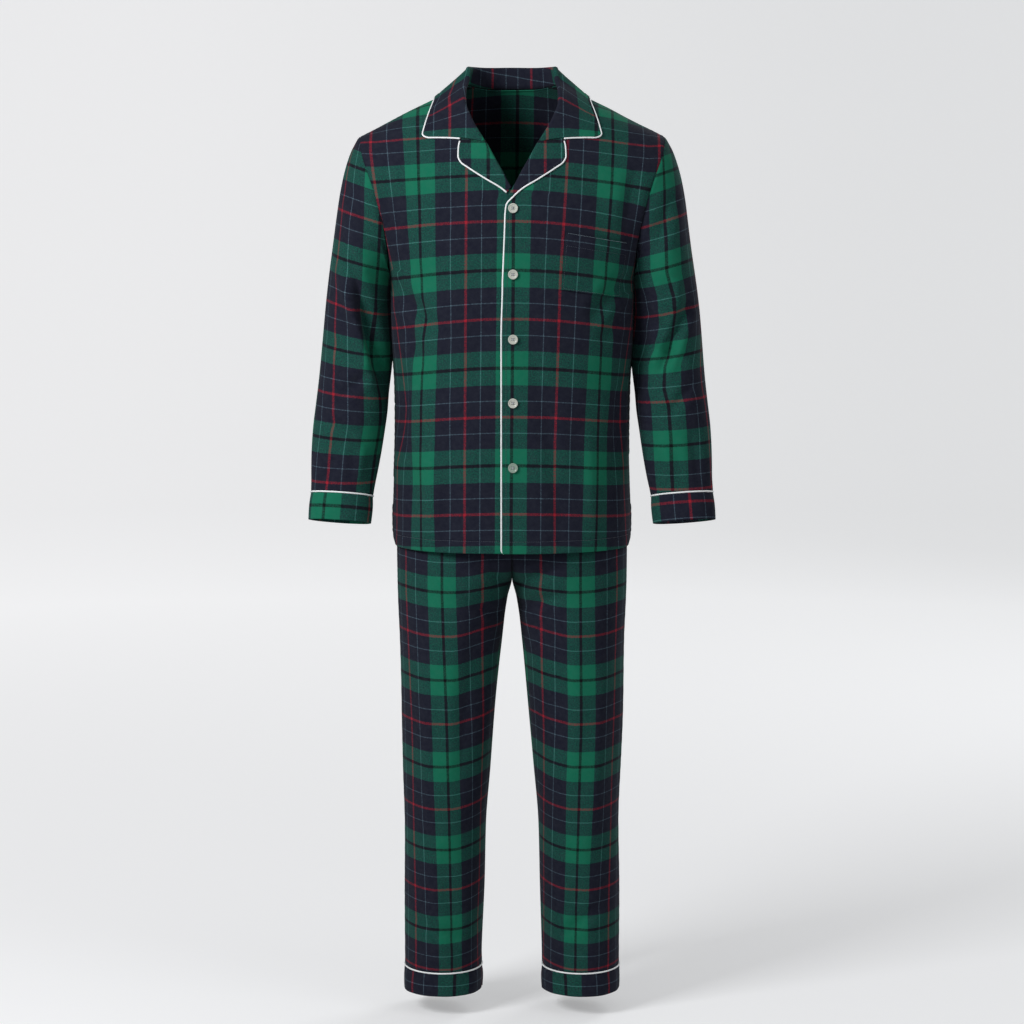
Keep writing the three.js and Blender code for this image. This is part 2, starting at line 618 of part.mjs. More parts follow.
function collarPoint(around, k) {
  const half = Math.abs(around);
  const shape = (share) => {
    const ends = roundCorner(
      (1 - half) * collarCorner.halfLength,
      (1 - share) * collarCorner.endLength,
      collarCorner.radius,
    );
    const at = 1 - ends.end / collarCorner.halfLength;
    return { at, share: 1 - ends.edge / collarCorner.endLength, edge: neckEdge(at) };
  };
  const seatAt = (at) => {
    const edge = neckEdge(clamp(at, 0, 1));
    return onBody(edge.x, edge.turn);
  };
  const step = 0.004;
  const tangent = seatAt(half + step).sub(seatAt(half - step));
  const edge = neckEdge(half);
  const { up, off, flat } = foldFrame(edge, tangent, half);
  const lean = collarAt.lean(half) * (1 - flat);
  const fall = (wanted, outside) => {
    const { at, share, edge: foot } = shape(wanted);
    const x = mix(foot.x, collarAt.edgeX(at), share);
    const turn = mix(foot.turn, collarAt.edgeTurn(at), share);
    const laid = onBody(x, turn, easedLie(turn) + (foldRadius - lie) * (1 - share) ** 2);
    const rim = onBody(collarAt.edgeX(at), collarAt.edgeTurn(at), easedLie(collarAt.edgeTurn(at)));
    const hung = mixed(outside, rim, share).addScaledVector(off, 3 * share * (1 - share));
    return mixed(hung, laid, flat);
  };
  const points = foldSection({
    seat: seatAt(half), up, off, radius: foldRadius, height: collarAt.height(half), lean,
    standDrop: mix(0.7, -turnIn, smooth(0.56, 0.7, half)),
    standIn: mix(-0.2, foldRadius, smooth(collarSplit, 0.53, half)),
    fall,
  });
  return mirror(around < 0 ? -1 : 1, along(points, k));
}

const overShoulder = [5.5, 6.5, 7.5].map((count) => count / fine.collarHalfSteps);
const collarColumns = [...steps(fine.collarHalfSteps), ...overShoulder].sort((a, b) => a - b);
function collar() {
  const half = collarColumns;
  const us = [...half.slice(1).reverse().map((share) => -share), ...half];
  const vs = [0, 0.5, 1, 2, 3, 4, 5, 6, 7, 8];
  const place = (around, k) => collarPoint(around, k);
  return sheet({ us, vs, place, facing: new THREE.Vector3(0, 1, 0.2) });
}

// Lapels: the folded-back facing, from the gorge seam down the roll line
const gorgeShare = (gorge.notchX - neckEdge(1).x) / (collarAt.edgeX(1) - neckEdge(1).x);
const gorgeGap = 0.003;
const notchTurn = mix(gorge.turn, collarAt.edgeTurn(1), gorgeShare);
const notchRow = { rise: riseOf(gorge.turn), x: gorge.notchX, down: -onBody(gorge.notchX, notchTurn).z };
const lapelAt = table([...[...lapelEdge].reverse(), notchRow], 'rise');
function lapelPoint(side, rise, k) {
  const turn = Math.asin(rise) / quarter;
  const edgeAt = (r) => ({ x: roll.x(r), turn: Math.asin(r) / quarter });
  const seatAt = (r) => {
    const edge = edgeAt(r);
    return onFront(side, edge.x, edge.turn);
  };
  const tangent = seatAt(rise - 0.002).sub(seatAt(rise + 0.002));
  const edge = edgeAt(rise);
  const { up, off } = foldFrame(edge, tangent, 1);
  const radius = mix(tipFoldRadius, foldRadius, smooth(0.46, 0.53, rise));
  const outerX = lapelAt.x(rise);
  const outerTurn = frontTurn(outerX, lapelAt.down(rise));
  const fall = (share) => {
    const x = mix(edge.x, outerX, share);
    return onFront(side, x, mix(turn, outerTurn, share), lie + (radius - lie) * (1 - share) ** 2);
  };
  const points = foldSection({
    seat: seatAt(rise), up, off, radius, height: radius + foldClearance, lean: 0,
    standDrop: mix(foldClearance / 2, -turnIn, smooth(0.55, 0.62, rise)), standIn: radius, fall,
  });
  return mirror(side, along(points, k));
}

function lapel(side) {
  const tip = side > 0 ? lapelTip.left : lapelTip.right;
  const vs = steps(fine.lapelRows).map((share) => mix(riseOf(gorge.turn) - gorgeGap, tip, share));
  const place = (k, rise) => lapelPoint(side, rise, k);
  return sheet({ us: [0, 1, 2, 3, 4, 5, 6, 7, 8], vs, place, facing: frontward });
}

// Piping beside the edge of a wall: points on the edge, moved out along the cloth and into its middle
function edgePiping(edges, drop) {
  return edges.map(({ point, away, normal }) => {
    const out = away.clone().addScaledVector(normal, -away.dot(normal)).normalize();
    return point.clone().addScaledVector(out, pipingRadius + 1.5 * seamGap).addScaledVector(normal, -drop);
  });
}
const laidDrop = lie - pipingRadius - seamGap;
const edgeDrop = wall / 2;

function collarEdge(around, k) {
  const point = collarPoint(around, k);
  const sideways = collarPoint(around, k + 0.05).sub(point);
  const endways = collarPoint(around - Math.sign(around) * 0.004, k).sub(point);
  return { point, sideways, endways, normal: sideways.clone().cross(endways).normalize() };
}
function collarPiping() {
  const half = [];
  const around = collarColumns.filter((at) => (1 - at) * collarCorner.halfLength > collarCorner.radius);
  const place = (at, share) => collarEdge(at, (1 - share) * 4);
  around.forEach((at) => {
    const edge = place(Math.max(at, 1e-4), 1);
    half.push({ ...edge, away: edge.sideways.clone().negate() });
  });
  const cornerShare = 1 - collarCorner.radius / collarCorner.endLength;
  const roundCornerAway = (edge) => {
    const away = edge.sideways.clone().normalize().add(edge.endways.clone().normalize()).negate();
    half.push({ ...edge, away });
  };
  [0.6, 0.3, 0].forEach((t) => {
    roundCornerAway(place(1 - (t * collarCorner.radius) / collarCorner.halfLength, 1));
  });
  [0.7, 0.4].forEach((t) => {
    roundCornerAway(place(1, 1 - (1 - t) * (1 - cornerShare)));
  });
  steps(5).forEach((t) => {
    const edge = place(1, mix(cornerShare, gorgeShare + 0.04, t));
    half.push({ ...edge, away: edge.endways.clone().negate() });
  });
  const points = edgePiping(half.map((edge) => {
    const offBody = new THREE.Vector3(edge.point.x * 0.002, edge.point.y * 0.01, 1);
    const outward = edge.normal.dot(offBody) < 0 ? -1 : 1;
    return { ...edge, normal: edge.normal.multiplyScalar(outward) };
  }), laidDrop);
  const left = points.map((p) => mirror(-1, p.clone()));
  return cord([...left.slice(1).reverse(), ...points], false);
}

function lapelPipingPoints(side) {
  const tip = side > 0 ? lapelTip.left : lapelTip.right;
  return edgePiping(steps(16).map((share) => {
    const rise = mix(riseOf(gorge.turn) - 0.014, tip + 0.002, share);
    const point = lapelPoint(side, rise, 0);
    const inwards = lapelPoint(side, rise, 0.2).sub(point);
    const downwards = lapelPoint(side, rise - 0.003, 0).sub(point);
    const normal = inwards.clone().cross(downwards).normalize();
    if (normal.y > 0) {
      normal.negate();
    }
    const away = inwards.negate();
    away.addScaledVector(downwards, -away.dot(downwards) / downwards.lengthSq());
    return { point, away, normal };
  }), laidDrop);
}

// Down the left front's edge, from the lapel's tip to the hem
function frontEdgePoints() {
  const turns = [0.235, 0.2, 0.14, 0.07, 0, -0.1, -0.2, -0.3, -0.4, -0.5, -0.6, -0.7, -0.8, -0.9, -1];
  return edgePiping(turns.map((turn) => {
    const x = frontEdgeX(turn);
    const point = onBody(x, turn);
    return { point, away: new THREE.Vector3(-1, 0, 0), normal: bodyNormal(angleOf(x, turn), turn) };
  }), edgeDrop);
}
const frontPiping = () => cord([...lapelPipingPoints(1), ...frontEdgePoints()], false);
const lapelPipingRight = () => cord(lapelPipingPoints(-1), false);

function pocketPatch() {
  const place = (u, v) => {
    const x = mix(mix(pocket.bottom.inner, pocket.top.inner, v), mix(pocket.bottom.outer, pocket.top.outer, v), u);
    const low = mix(pocket.bottom.innerDown, pocket.bottom.outerDown, u);
    const high = mix(pocket.top.innerDown, pocket.top.outerDown, u);
    return onBody(x, frontTurn(x, mix(low, high, v)), lie);
  };
  return sheet({ us: steps(10), vs: steps(6), place, facing: frontward });
}

function button(down) {
  const outline = new THREE.Shape().absarc(0, 0, buttonRadius, 0, 2 * Math.PI);
  [[1, 1], [1, -1], [-1, -1], [-1, 1]].forEach(([a, b]) => {
    const rim = steps(buttonHole.sides).slice(1).map((share) => new THREE.Vector2(
      (a * buttonHole.spacing) / 2 + buttonHole.radius * Math.cos(2 * Math.PI * share),
      (b * buttonHole.spacing) / 2 + buttonHole.radius * Math.sin(2 * Math.PI * share),
    ));
    outline.holes.push(new THREE.Path(rim));
  });
  const geometry = new THREE.ExtrudeGeometry(outline, {
    depth: buttonThickness, bevelEnabled: false, curveSegments: 9,
  });
  const turn = frontTurn(buttonX, down);
  const normal = bodyNormal(angleOf(buttonX, turn), turn);
  geometry.applyQuaternion(new THREE.Quaternion().setFromUnitVectors(new THREE.Vector3(0, 0, 1), normal));
  geometry.translate(...onBody(buttonX, turn, seamGap * 1.5).toArray());
  return geometry;
}

// Trousers: the section goes from half an oval about the hips to a ring about each leg. The middle
// dips in along the crotch seam, while the outer part of the section changes slowly
const partedFrom = crotchDown - crotchCurve - 20;
const partedTo = crotchDown + 70;
function trouserPoint(side, face, share, down) {
  const rise = clamp((crotchDown - down) / crotchCurve, 0, 1);
  const seamSplit = 1 - Math.sqrt(1 - (1 - rise) ** 2);
  const parted = smooth(partedFrom, partedTo, down);
  const out = trouserAt.out(down);
  const inner = trouserAt.in(down) * parted;
  const middle = (out + inner) / 2;
  const swing = share * quarter;
  const hipX = inner + (out - inner) * Math.cos(swing) ** (2 / squareness);
  const legX = middle + (out - middle) * Math.cos(2 * swing);
  const x = mix(hipX, legX, parted);
  const hip = Math.max(0, 1 - (x / out) ** squareness) ** (1 / squareness);
  const leg = Math.sqrt(Math.max(0, 1 - ((x - middle) / (out - middle)) ** 2));
  const split = mix(seamSplit, parted, smooth(0, 0.8 * middle, x - inner));
  const depth = face < 0 ? trouserAt.front(down) : trouserAt.back(down);
  return mirror(side, new THREE.Vector3(x, face * depth * mix(hip, leg, split), -down));
}

const trouserRows = () => {
  const top = waistTopDown + waistbandHeight;
  const fork = crotchDown - crotchCurve;
  const hips = steps(3).map((share) => mix(top, fork, share));
  const curve = [0.25, 0.5, 0.7, 0.85, 0.95, 1].map((share) => mix(fork, crotchDown, share));
  const legs = steps(fine.legRows - 9).map((share) => mix(crotchDown + 14, trouserSeamDown, share));
  return [...hips, ...curve, ...legs];
};

function legPanel(side, face) {
  const place = (share, down) => trouserPoint(side, face, share, down);
  const us = steps(fine.legColumns).map((share) => share);
  return sheet({ us, vs: trouserRows(), place, facing: face < 0 ? frontward : backward });
}

function legRing(side, theta, down) {
  const share = 1 - Math.abs(theta) / Math.PI;
  return trouserPoint(side, theta < 0 ? -1 : 1, 1 - share, down);
}
const wrapped = (theta) => Math.atan2(Math.sin(theta), Math.cos(theta));
function hemBand(side) {
  const top = trouserSeamDown + pipingSeat;
  const vs = [top, top + trouserBandHeight / 2, top + trouserBandHeight];
  return tube({ columns: fine.ringColumns, vs, place: (theta, down) => legRing(side, wrapped(theta), down) });
}
const hemPiping = (side) => ringPiping((theta) => legRing(side, wrapped(theta), trouserSeamDown + seamMiddle));

function waistband() {
  const place = (theta, down) => {
    const swing = wrapped(theta);
    const side = Math.abs(swing) < quarter ? 1 : -1;
    const share = 1 - Math.abs(Math.abs(swing) - quarter) / quarter;
    return trouserPoint(side, swing < 0 ? -1 : 1, share, down);
  };
  const vs = [waistTopDown, waistTopDown + waistbandHeight / 2, waistTopDown + waistbandHeight];
  return tube({ columns: 32, vs, place });
}

const group = new THREE.Group();
function add(name, geometry, material) {
  const mesh = new THREE.Mesh(geometry, material);
  mesh.name = name;
  group.add(mesh);
}

const sides = [{ name: 'left', side: 1 }, { name: 'right', side: -1 }];
sides.forEach(({ name, side }) => {
  add(`front_${name}`, front(side), flannelNavy);
  add(`sleeve_${name}`, sleeve(side), flannelNavy);
  add(`cuff_${name}`, cuff(side), flannelGreen);
  add(`cuff_piping_${name}`, cuffPiping(side), pipingWhite);
  add(`lapel_${name}`, lapel(side), flannelGreen);
  add(`leg_front_${name}`, legPanel(side, -1), flannelNavy);
  add(`leg_back_${name}`, legPanel(side, 1), flannelNavy);
  add(`hem_band_${name}`, hemBand(side), flannelGreen);
  add(`hem_piping_${name}`, hemPiping(side), pipingWhite);
});
add('back', back(), flannelNavy);
add('collar', collar(), flannelGreen);
add('collar_piping', collarPiping(), pipingWhite);
add('front_piping', frontPiping(), pipingWhite);
add('lapel_piping_right', lapelPipingRight(), pipingWhite);
add('pocket', pocketPatch(), flannelGreen);
add('waistband', waistband(), flannelNavy);
buttonDowns.forEach((down, i) => add(`button_${i + 1}`, button(down), buttonPearl));

export default group;
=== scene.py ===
import math

import bpy
import numpy as np
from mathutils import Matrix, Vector


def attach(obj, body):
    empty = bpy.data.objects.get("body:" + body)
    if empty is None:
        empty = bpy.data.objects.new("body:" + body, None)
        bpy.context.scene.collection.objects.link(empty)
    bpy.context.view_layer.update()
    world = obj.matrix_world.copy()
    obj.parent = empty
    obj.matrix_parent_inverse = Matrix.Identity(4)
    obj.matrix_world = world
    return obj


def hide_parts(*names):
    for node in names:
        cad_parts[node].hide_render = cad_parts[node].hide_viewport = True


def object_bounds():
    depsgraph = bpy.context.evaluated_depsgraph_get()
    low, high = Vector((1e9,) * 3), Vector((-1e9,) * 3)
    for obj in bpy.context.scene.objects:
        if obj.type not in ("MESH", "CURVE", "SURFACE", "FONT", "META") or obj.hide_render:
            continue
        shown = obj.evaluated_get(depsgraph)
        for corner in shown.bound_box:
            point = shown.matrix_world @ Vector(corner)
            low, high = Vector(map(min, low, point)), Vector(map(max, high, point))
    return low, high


# A men's pyjama set as it is worn. Lengths in the tables are millimetres in the frame of the part:
# X to the wearer's left, the front faces -Y, Z up, "down" is the distance below the origin.

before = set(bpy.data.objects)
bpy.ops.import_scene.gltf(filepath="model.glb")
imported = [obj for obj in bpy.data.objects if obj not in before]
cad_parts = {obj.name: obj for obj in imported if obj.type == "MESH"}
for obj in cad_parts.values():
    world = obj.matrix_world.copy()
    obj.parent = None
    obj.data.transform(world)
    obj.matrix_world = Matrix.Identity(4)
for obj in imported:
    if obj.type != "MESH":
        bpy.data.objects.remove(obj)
cadLow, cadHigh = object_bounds()
bpy.ops.object.select_all(action="DESELECT")
print("frame loaded")

cloth = {
    "thickness": 1.4, "lie": 2.2, "jacketWaves": 0.9, "sleeveWaves": 1.2, "trouserWaves": 1.1,
    "seamDip": 1.0, "seamWidth": 2.4, "pucker": 0.26, "puckerPitch": 9.0, "puckerReach": 7.0,
    "hemRise": 0.5, "stitchDip": 0.35, "stitchWidth": 1.6,
}
foldShape = {
    "depth": 1.75, "bend": 0.45, "bendPitch": 2.4, "taper": 0.8, "sharpness": 1.5,
    "bank": 0.32, "bankAt": 1.75, "bankNarrow": 1.4, "fade": 0.45,
}

jacket = {
    "neckX": 78.5, "neckZ": 12, "shoulderX": 249, "shoulderDown": 73, "ridgeRound": 40,
    "backNeckDrop": 0.29, "chestDown": 300, "hemDown": 740, "squareness": 2.3,
    "armholeFront": 0.75, "armholeBack": 0.8,
    "underlap": 3.2, "underlapX": (15, 95), "underlapTurn": (0.3, 0.5),
}
jacketBody = {
    "down": [300, 388, 478, 560, 640, 702, 726, 740],
    "half": [200, 198, 193, 192.5, 194, 196, 195.5, 192.3],
    "front": [138, 141, 141, 141, 142, 143, 142.5, 141],
    "back": [125, 121, 120, 127, 134, 137, 137, 136],
}
armholeSeam = {
    "rise": [0, 0.16, 0.34, 0.46, 0.6, 0.72, 0.86, 1],
    "out": [200, 202, 208, 215, 224, 233, 243, 249],
}
rollLine = {
    "rise": [0, 0.128, 0.25, 0.325, 0.36, 0.395, 0.419, 0.5435, 0.68, 0.818, 0.911, 1],
    "x": [-13.6, -11.8, -10.2, -9.4, -7.6, -3.5, 0, 24.5, 47.2, 69, 78, 78.5],
}
frontEdgeLow = {"x": -15.7, "from": 300, "to": 390}


def mix(a, b, share):
    return a + (b - a) * share


def ramp(low, high, value):
    share = np.clip((np.asarray(value, float) - low) / (high - low), 0, 1)
    return share * share * (3 - 2 * share)


def smoothCurve(at, value):  # through every row of a table, never past one
    at, value = np.array(at, float), np.array(value, float)
    step = np.diff(value) / np.diff(at)
    before, after = np.r_[step[0], step], np.r_[step, step[-1]]
    together = before + after
    together[together == 0] = 1
    slope = np.where(before * after > 0, 2 * before * after / together, 0)

    def read(place):
        inside = np.clip(place, at[0], at[-1])
        i = np.clip(np.searchsorted(at, inside, side="right") - 1, 0, len(at) - 2)
        width = at[i + 1] - at[i]
        t = (inside - at[i]) / width
        back = t - 1
        return (value[i] * (1 + 2 * t) * back * back + slope[i] * width * t * back * back
                + value[i + 1] * t * t * (3 - 2 * t) + slope[i + 1] * width * t * t * back)
    return read


def tableOf(rows, key):
    return {name: smoothCurve(rows[key], rows[name]) for name in rows if name != key}


bodyAt = tableOf(jacketBody, "down")
armholeOut = smoothCurve(armholeSeam["rise"], armholeSeam["out"])
rollX = smoothCurve(rollLine["rise"], rollLine["x"])
quarter = math.pi / 2
power = jacket["squareness"]


def vectors(x, y, z):
    return np.stack(np.broadcast_arrays(x, y, z), axis=-1).astype(float)


def unit(v):
    return v / np.maximum(np.linalg.norm(v, axis=-1, keepdims=True), 1e-9)


def lifted(points, normal, high):  # each point moved out along its normal
    return points + normal * np.asarray(high)[..., None]


def ridge(x):
    reach = lambda v: np.hypot(v, jacket["ridgeRound"])
    fall = jacket["neckZ"] + jacket["shoulderDown"]
    slope = fall / (reach(jacket["shoulderX"]) - reach(jacket["neckX"]))
    return jacket["neckZ"] - slope * (reach(x) - reach(jacket["neckX"]))


def levelOf(turn):
    return np.where(turn <= 1, turn, 2 - turn)


def downOf(level):
    return mix(jacket["chestDown"], jacket["hemDown"], np.maximum(-level, 0))


def riseOf(level):
    return np.sin(np.maximum(level, 0) * quarter)


def edgeOf(level):
    return np.where(level <= 0, bodyAt["half"](downOf(level)), armholeOut(riseOf(level)))


def angleOf(x, turn):
    across = np.clip(np.abs(x) / edgeOf(levelOf(turn)), 0, 1)
    return np.sign(x) * np.arcsin(across ** (power / 2))


# The turn runs from the front hem (-1) over the shoulder (1) to the back hem (3),
# the angle from the middle (0) to the side seam
def bodyPoint(angle, turn):
    angle, turn = np.broadcast_arrays(np.asarray(angle, float), np.asarray(turn, float))
    level = levelOf(turn)
    face = np.where(turn <= 1, -1, 1)
    across = np.abs(np.sin(angle)) ** (2 / power)
    x = np.sign(angle) * edgeOf(level) * across
    down = downOf(level)
    depth = np.where(face < 0, bodyAt["front"](down), bodyAt["back"](down))
    high = np.clip(level, 0, 1)
    reach = np.where(face < 0, jacket["armholeFront"], jacket["armholeBack"]) * np.sqrt(1 - (1 - high) ** 3)
    wide = edgeOf(level) / (1 - reach ** power) ** (1 / power)
    share = np.maximum(0, 1 - (np.abs(x) / wide) ** power) ** (1 / power)
    depth = depth * np.cos(high * quarter)
    chest = jacket["chestDown"]
    z = np.where(level <= 0, -down, -chest + (ridge(x) + chest) * riseOf(level))
    return vectors(x, face * depth * share, z)


def normalOf(place, a, b, lowA, highA, lowB, highB, step=1e-3):
    alongA = place(np.minimum(a + step, highA), b) - place(np.maximum(a - step, lowA), b)
    alongB = place(a, np.minimum(b + step, highB)) - place(a, np.maximum(b - step, lowB))
    return unit(np.cross(alongA, alongB))


def bodyNormal(angle, turn):
    return normalOf(bodyPoint, angle, turn, -quarter, quarter, -1, 3)


# Soft folds, listed one by one: face (-1 front, 1 back), from (x, down) to (x, down), half width, depth
jacketFolds = [
    (-1, 188, 292, 128, 372, 13, -4.2), (-1, -188, 300, -120, 392, 14, -4.6),
    (-1, 182, 340, 140, 402, 10, -2.4), (-1, -176, 360, -142, 446, 10, -2.6),
    (-1, 62, 470, 74, 736, 15, -2.2), (-1, -84, 500, -96, 738, 17, -2.6),
    (-1, 132, 520, 126, 738, 14, 2.2), (-1, -140, 560, -134, 738, 14, 2.4),
    (-1, 176, 470, 158, 640, 12, -2.2), (-1, -172, 520, -160, 690, 12, -2),
    (-1, -30, 330, -58, 470, 16, -1.5), (-1, 34, 350, 44, 520, 16, -1.3),
    (-1, 206, 118, 176, 232, 12, -2.4), (-1, -210, 122, -182, 240, 12, -2.6),
    (-1, -60, 130, -110, 220, 18, -1.4), (-1, 100, 120, 150, 196, 16, -1.2),
    (1, 190, 296, 96, 388, 14, -4.4), (1, -188, 306, -110, 376, 12, -4),
    (1, 150, 404, 60, 470, 12, -2.4), (1, -158, 420, -70, 500, 13, -2.6),
    (1, 70, 520, 84, 738, 17, -3), (1, -64, 500, -80, 738, 16, -2.6),
    (1, 10, 560, 6, 738, 15, 2.4), (1, 138, 560, 146, 738, 13, 2.4),
    (1, -146, 600, -140, 738, 13, 2), (1, 60, 150, 150, 130, 15, -2),
    (1, -50, 160, -150, 136, 14, -1.8), (1, 205, 150, 170, 250, 12, -2.4),
]
sleeveFolds = {
    1: [
        (-1, 294, 338, 229, 464, 9, -6), (-1, 274, 300, 262, 352, 11, 3),
        (-1, 214, 316, 208, 500, 14, -4.2),
        (-1, 216, 352, 262, 420, 9, -3), (-1, 222, 408, 284, 444, 9, -2.8),
        (-1, 300, 470, 246, 520, 9, -2.6), (-1, 262, 160, 236, 262, 12, -3),
        (-1, 292, 540, 300, 640, 10, -2), (-1, 240, 560, 262, 640, 9, 2),
        (1, 214, 340, 286, 404, 11, -4.5), (1, 222, 420, 292, 452, 10, -3),
        (1, 258, 130, 240, 250, 12, -2.6), (1, 300, 500, 240, 560, 9, -2.4),
    ],
    -1: [
        (-1, -266, 272, -199, 498, 10, -6.4), (-1, -285, 270, -226, 476, 10, 3.6),
        (-1, -236, 286, -196, 486, 17, -4.6),
        (-1, -300, 392, -246, 452, 9, -1.8), (-1, -214, 444, -286, 496, 9, -2.2),
        (-1, -304, 520, -250, 560, 9, -2.4), (-1, -256, 150, -238, 240, 12, -2.6),
        (-1, -290, 560, -300, 644, 10, -2), (-1, -236, 570, -254, 644, 9, 2),
        (1, -210, 350, -284, 410, 12, -4.8), (1, -226, 430, -296, 470, 10, -3),
        (1, -262, 120, -240, 262, 12, -2.8), (1, -300, 510, -244, 568, 9, -2.2),
    ],
}
trouserFolds = [
    (-1, 6, 800, 88, 752, 9, -3.4), (-1, -6, 802, -92, 748, 10, -3.6),
    (-1, 14, 842, 92, 812, 10, -2.4), (-1, -12, 850, -86, 824, 10, -2.2),
    (-1, 60, 830, 84, 1120, 15, -2.6), (-1, -66, 850, -84, 1180, 16, -2.8),
    (-1, 142, 900, 134, 1240, 14, 2.2), (-1, -148, 930, -140, 1210, 14, 2.2),
    (-1, 92, 1200, 100, 1440, 14, -2), (-1, -104, 1230, -96, 1440, 14, -2.2),
    (-1, 160, 1330, 72, 1392, 10, -2), (-1, -160, 1350, -84, 1404, 10, -2),
    (1, 4, 806, 104, 772, 10, -4), (1, -4, 806, -96, 776, 11, -3.6),
    (1, 16, 850, 110, 826, 11, -2.6), (1, -16, 862, -104, 832, 10, -2.4),
    (1, 96, 880, 100, 1250, 16, -2.8), (1, -92, 900, -104, 1220, 15, -2.6),
    (1, 156, 1080, 66, 1128, 12, -3), (1, -152, 1100, -70, 1146, 12, -2.8),
    (1, 70, 1180, 150, 1216, 10, -2), (1, -74, 1200, -148, 1230, 10, -2),
]


def foldsAt(folds, point, normal):
    s = foldShape
    total = np.zeros(point.shape[:-1])
    x, z = point[..., 0], point[..., 2]
    for face, xA, downA, xB, downB, width, depth in folds:
        dx, dz = xB - xA, downA - downB
        length = math.hypot(dx, dz)
        along = ((x - xA) * dx + (z + downA) * dz) / length ** 2
        away = ((x - xA) * dz - (z + downA) * dx) / length / width
        away = np.abs(away + s["bend"] * np.sin(s["bendPitch"] * along + downA))
        ends = np.clip(4 * along * (1 - along), 0, 1) ** s["taper"]
        banks = s["bank"] * np.exp(-s["bankNarrow"] * (away - s["bankAt"]) ** 2)
        shape = np.exp(-away ** s["sharpness"]) - banks
        total += s["depth"] * depth * ends * shape * ramp(0, s["fade"], face * normal[..., 1])
    return total


def waves(point, size):  # the slight unevenness of hanging cloth
    x, y, z = point[..., 0], point[..., 1], point[..., 2]
    return size * (0.5 * np.sin(x / 23 + 0.6 * np.sin(z / 61)) * np.sin(z / 87 + y / 50)
                   + 0.3 * np.sin(x / 13 - z / 43 + 1.3) + 0.25 * np.sin(y / 17 + z / 37))


def jacketPoint(angle, turn, lift=0.0, sunk=0.0):
    point, normal = bodyPoint(angle, turn), bodyNormal(angle, turn)
    high = lift + foldsAt(jacketFolds, point, normal) + waves(point, cloth["jacketWaves"])
    point = lifted(point, normal, high)
    point[..., 1] += sunk
    return point


def onJacket(x, turn, lift=0.0, sunk=0.0):
    return jacketPoint(angleOf(x, turn), turn, lift, sunk)


def sunkAt(side, x, turn):
    if side > 0:
        return np.zeros(np.broadcast(x, turn).shape)
    low, high = jacket["underlapTurn"]
    sideways = 1 - ramp(*jacket["underlapX"], x)
    return jacket["underlap"] * sideways * np.clip((high - turn) / (high - low), 0, 1)


def onFront(side, x, turn, lift=0.0):
    return onJacket(x, turn, lift, sunkAt(side, x, turn))


def frontTurn(x, down):
    chest = jacket["chestDown"]
    low = -(down - chest) / (jacket["hemDown"] - chest)
    high = np.arcsin(np.clip((chest - down) / (ridge(x) + chest), -1, 1)) / quarter
    return np.where(down >= chest, low, high)


def frontEdgeX(level):
    low = ramp(frontEdgeLow["from"], frontEdgeLow["to"], downOf(level))
    return np.where(level > 0, rollX(riseOf(level)), mix(rollX(0), frontEdgeLow["x"], low))


# The check repeats every 158 mm both ways. Each row is one of its lines, named by its place in the
# pattern (red lines at 0 and 158, a green band's middle at 79): distances down the body, and x there
repeat = 158.0
halfRepeat = repeat / 2
jacketLines = {
    -158: ([73, 105, 137, 178, 218, 376, 500, 520, 600, 740],
           [-229, -224.6, -220, -213, -210, -186.5, -171, -171, -186, -189]),
    -106.5: ([60, 123, 182, 290, 340, 380, 434, 503, 595, 740],
             [-177, -172, -169, -162.5, -158, -157, -160, -162.5, -164, -164]),
    -79: ([60, 130, 180, 271, 338, 385, 434, 503, 613, 740],
          [-152.5, -150.5, -148.5, -147, -143, -141.5, -144, -147, -148, -147]),
    0: ([150, 300, 560, 740], [-73, -74, -76, -77]),
    79: ([150, 300, 560, 740], [2.4, 2, -0.5, -1.3]),
    158: ([100, 150, 300, 560, 740], [90, 87.5, 77, 69.5, 69]),
    209.5: ([100, 150, 300, 560, 740], [140, 137.5, 129, 116, 113]),
    237: ([100, 150, 225, 300, 560, 740], [162.5, 160, 154.7, 148, 138, 135.5]),
    264.5: ([75, 100, 150, 225, 300, 470, 550, 740], [188, 186, 181, 174.5, 168, 160, 155, 153.5]),
    316: ([90, 125, 155, 218, 382, 440, 486, 540, 600, 740],
          [238, 233, 228, 210, 192.5, 184, 177, 177, 182, 187]),
}
jacketWeft = {
    "z": [-832, -675, -518, -360.4, -204.5, -46], "at": [-4, -3, -2, -1, 0, 1],
    "droop": {1: [10, 12.5, 17, 23, 25, 12], -1: [10, 12.5, 17, 21.5, 13, 9]},
    "droopAt": 190, "mostDroop": 1.35, "middle": 25, "steepBelow": -120, "lengthAbove": -215,
}
trouserWeft = {
    "z": [-1577, -1442, -1305.9, -1168.7, -1025.9, -880, -734, -588],
    "at": [-8, -7, -6, -5, -4, -3, -2, -1],
}
trouserLines = {
    # distances from the middle at three levels, from the outer red line to the inner one
    "down": [811, 1030, 1364],
    "away": [79, 27.5, 0, -27.5, -79],
    1: [[171.4, 168, 159], [135.2, 136, 125], [111.3, 113, 104.5], [89, 91, 85.8], [47, 52.2, 52.5]],
    -1: [[173.7, 165, 159], [137.3, 130.5, 120.5], [113.6, 106.5, 99.3], [91.2, 85, 83], [47.9, 48.2, 56.5]],
}


def arcs(points, axis, flat=False):  # running length along the rows (axis 1) or columns (axis 0)
    steps = np.diff(points, axis=axis)
    if flat:
        steps = steps[..., :2]
    length = np.linalg.norm(steps, axis=-1)
    start = np.zeros_like(np.take(length, [0], axis=axis))
    return np.concatenate([start, np.cumsum(length, axis=axis)], axis=axis)


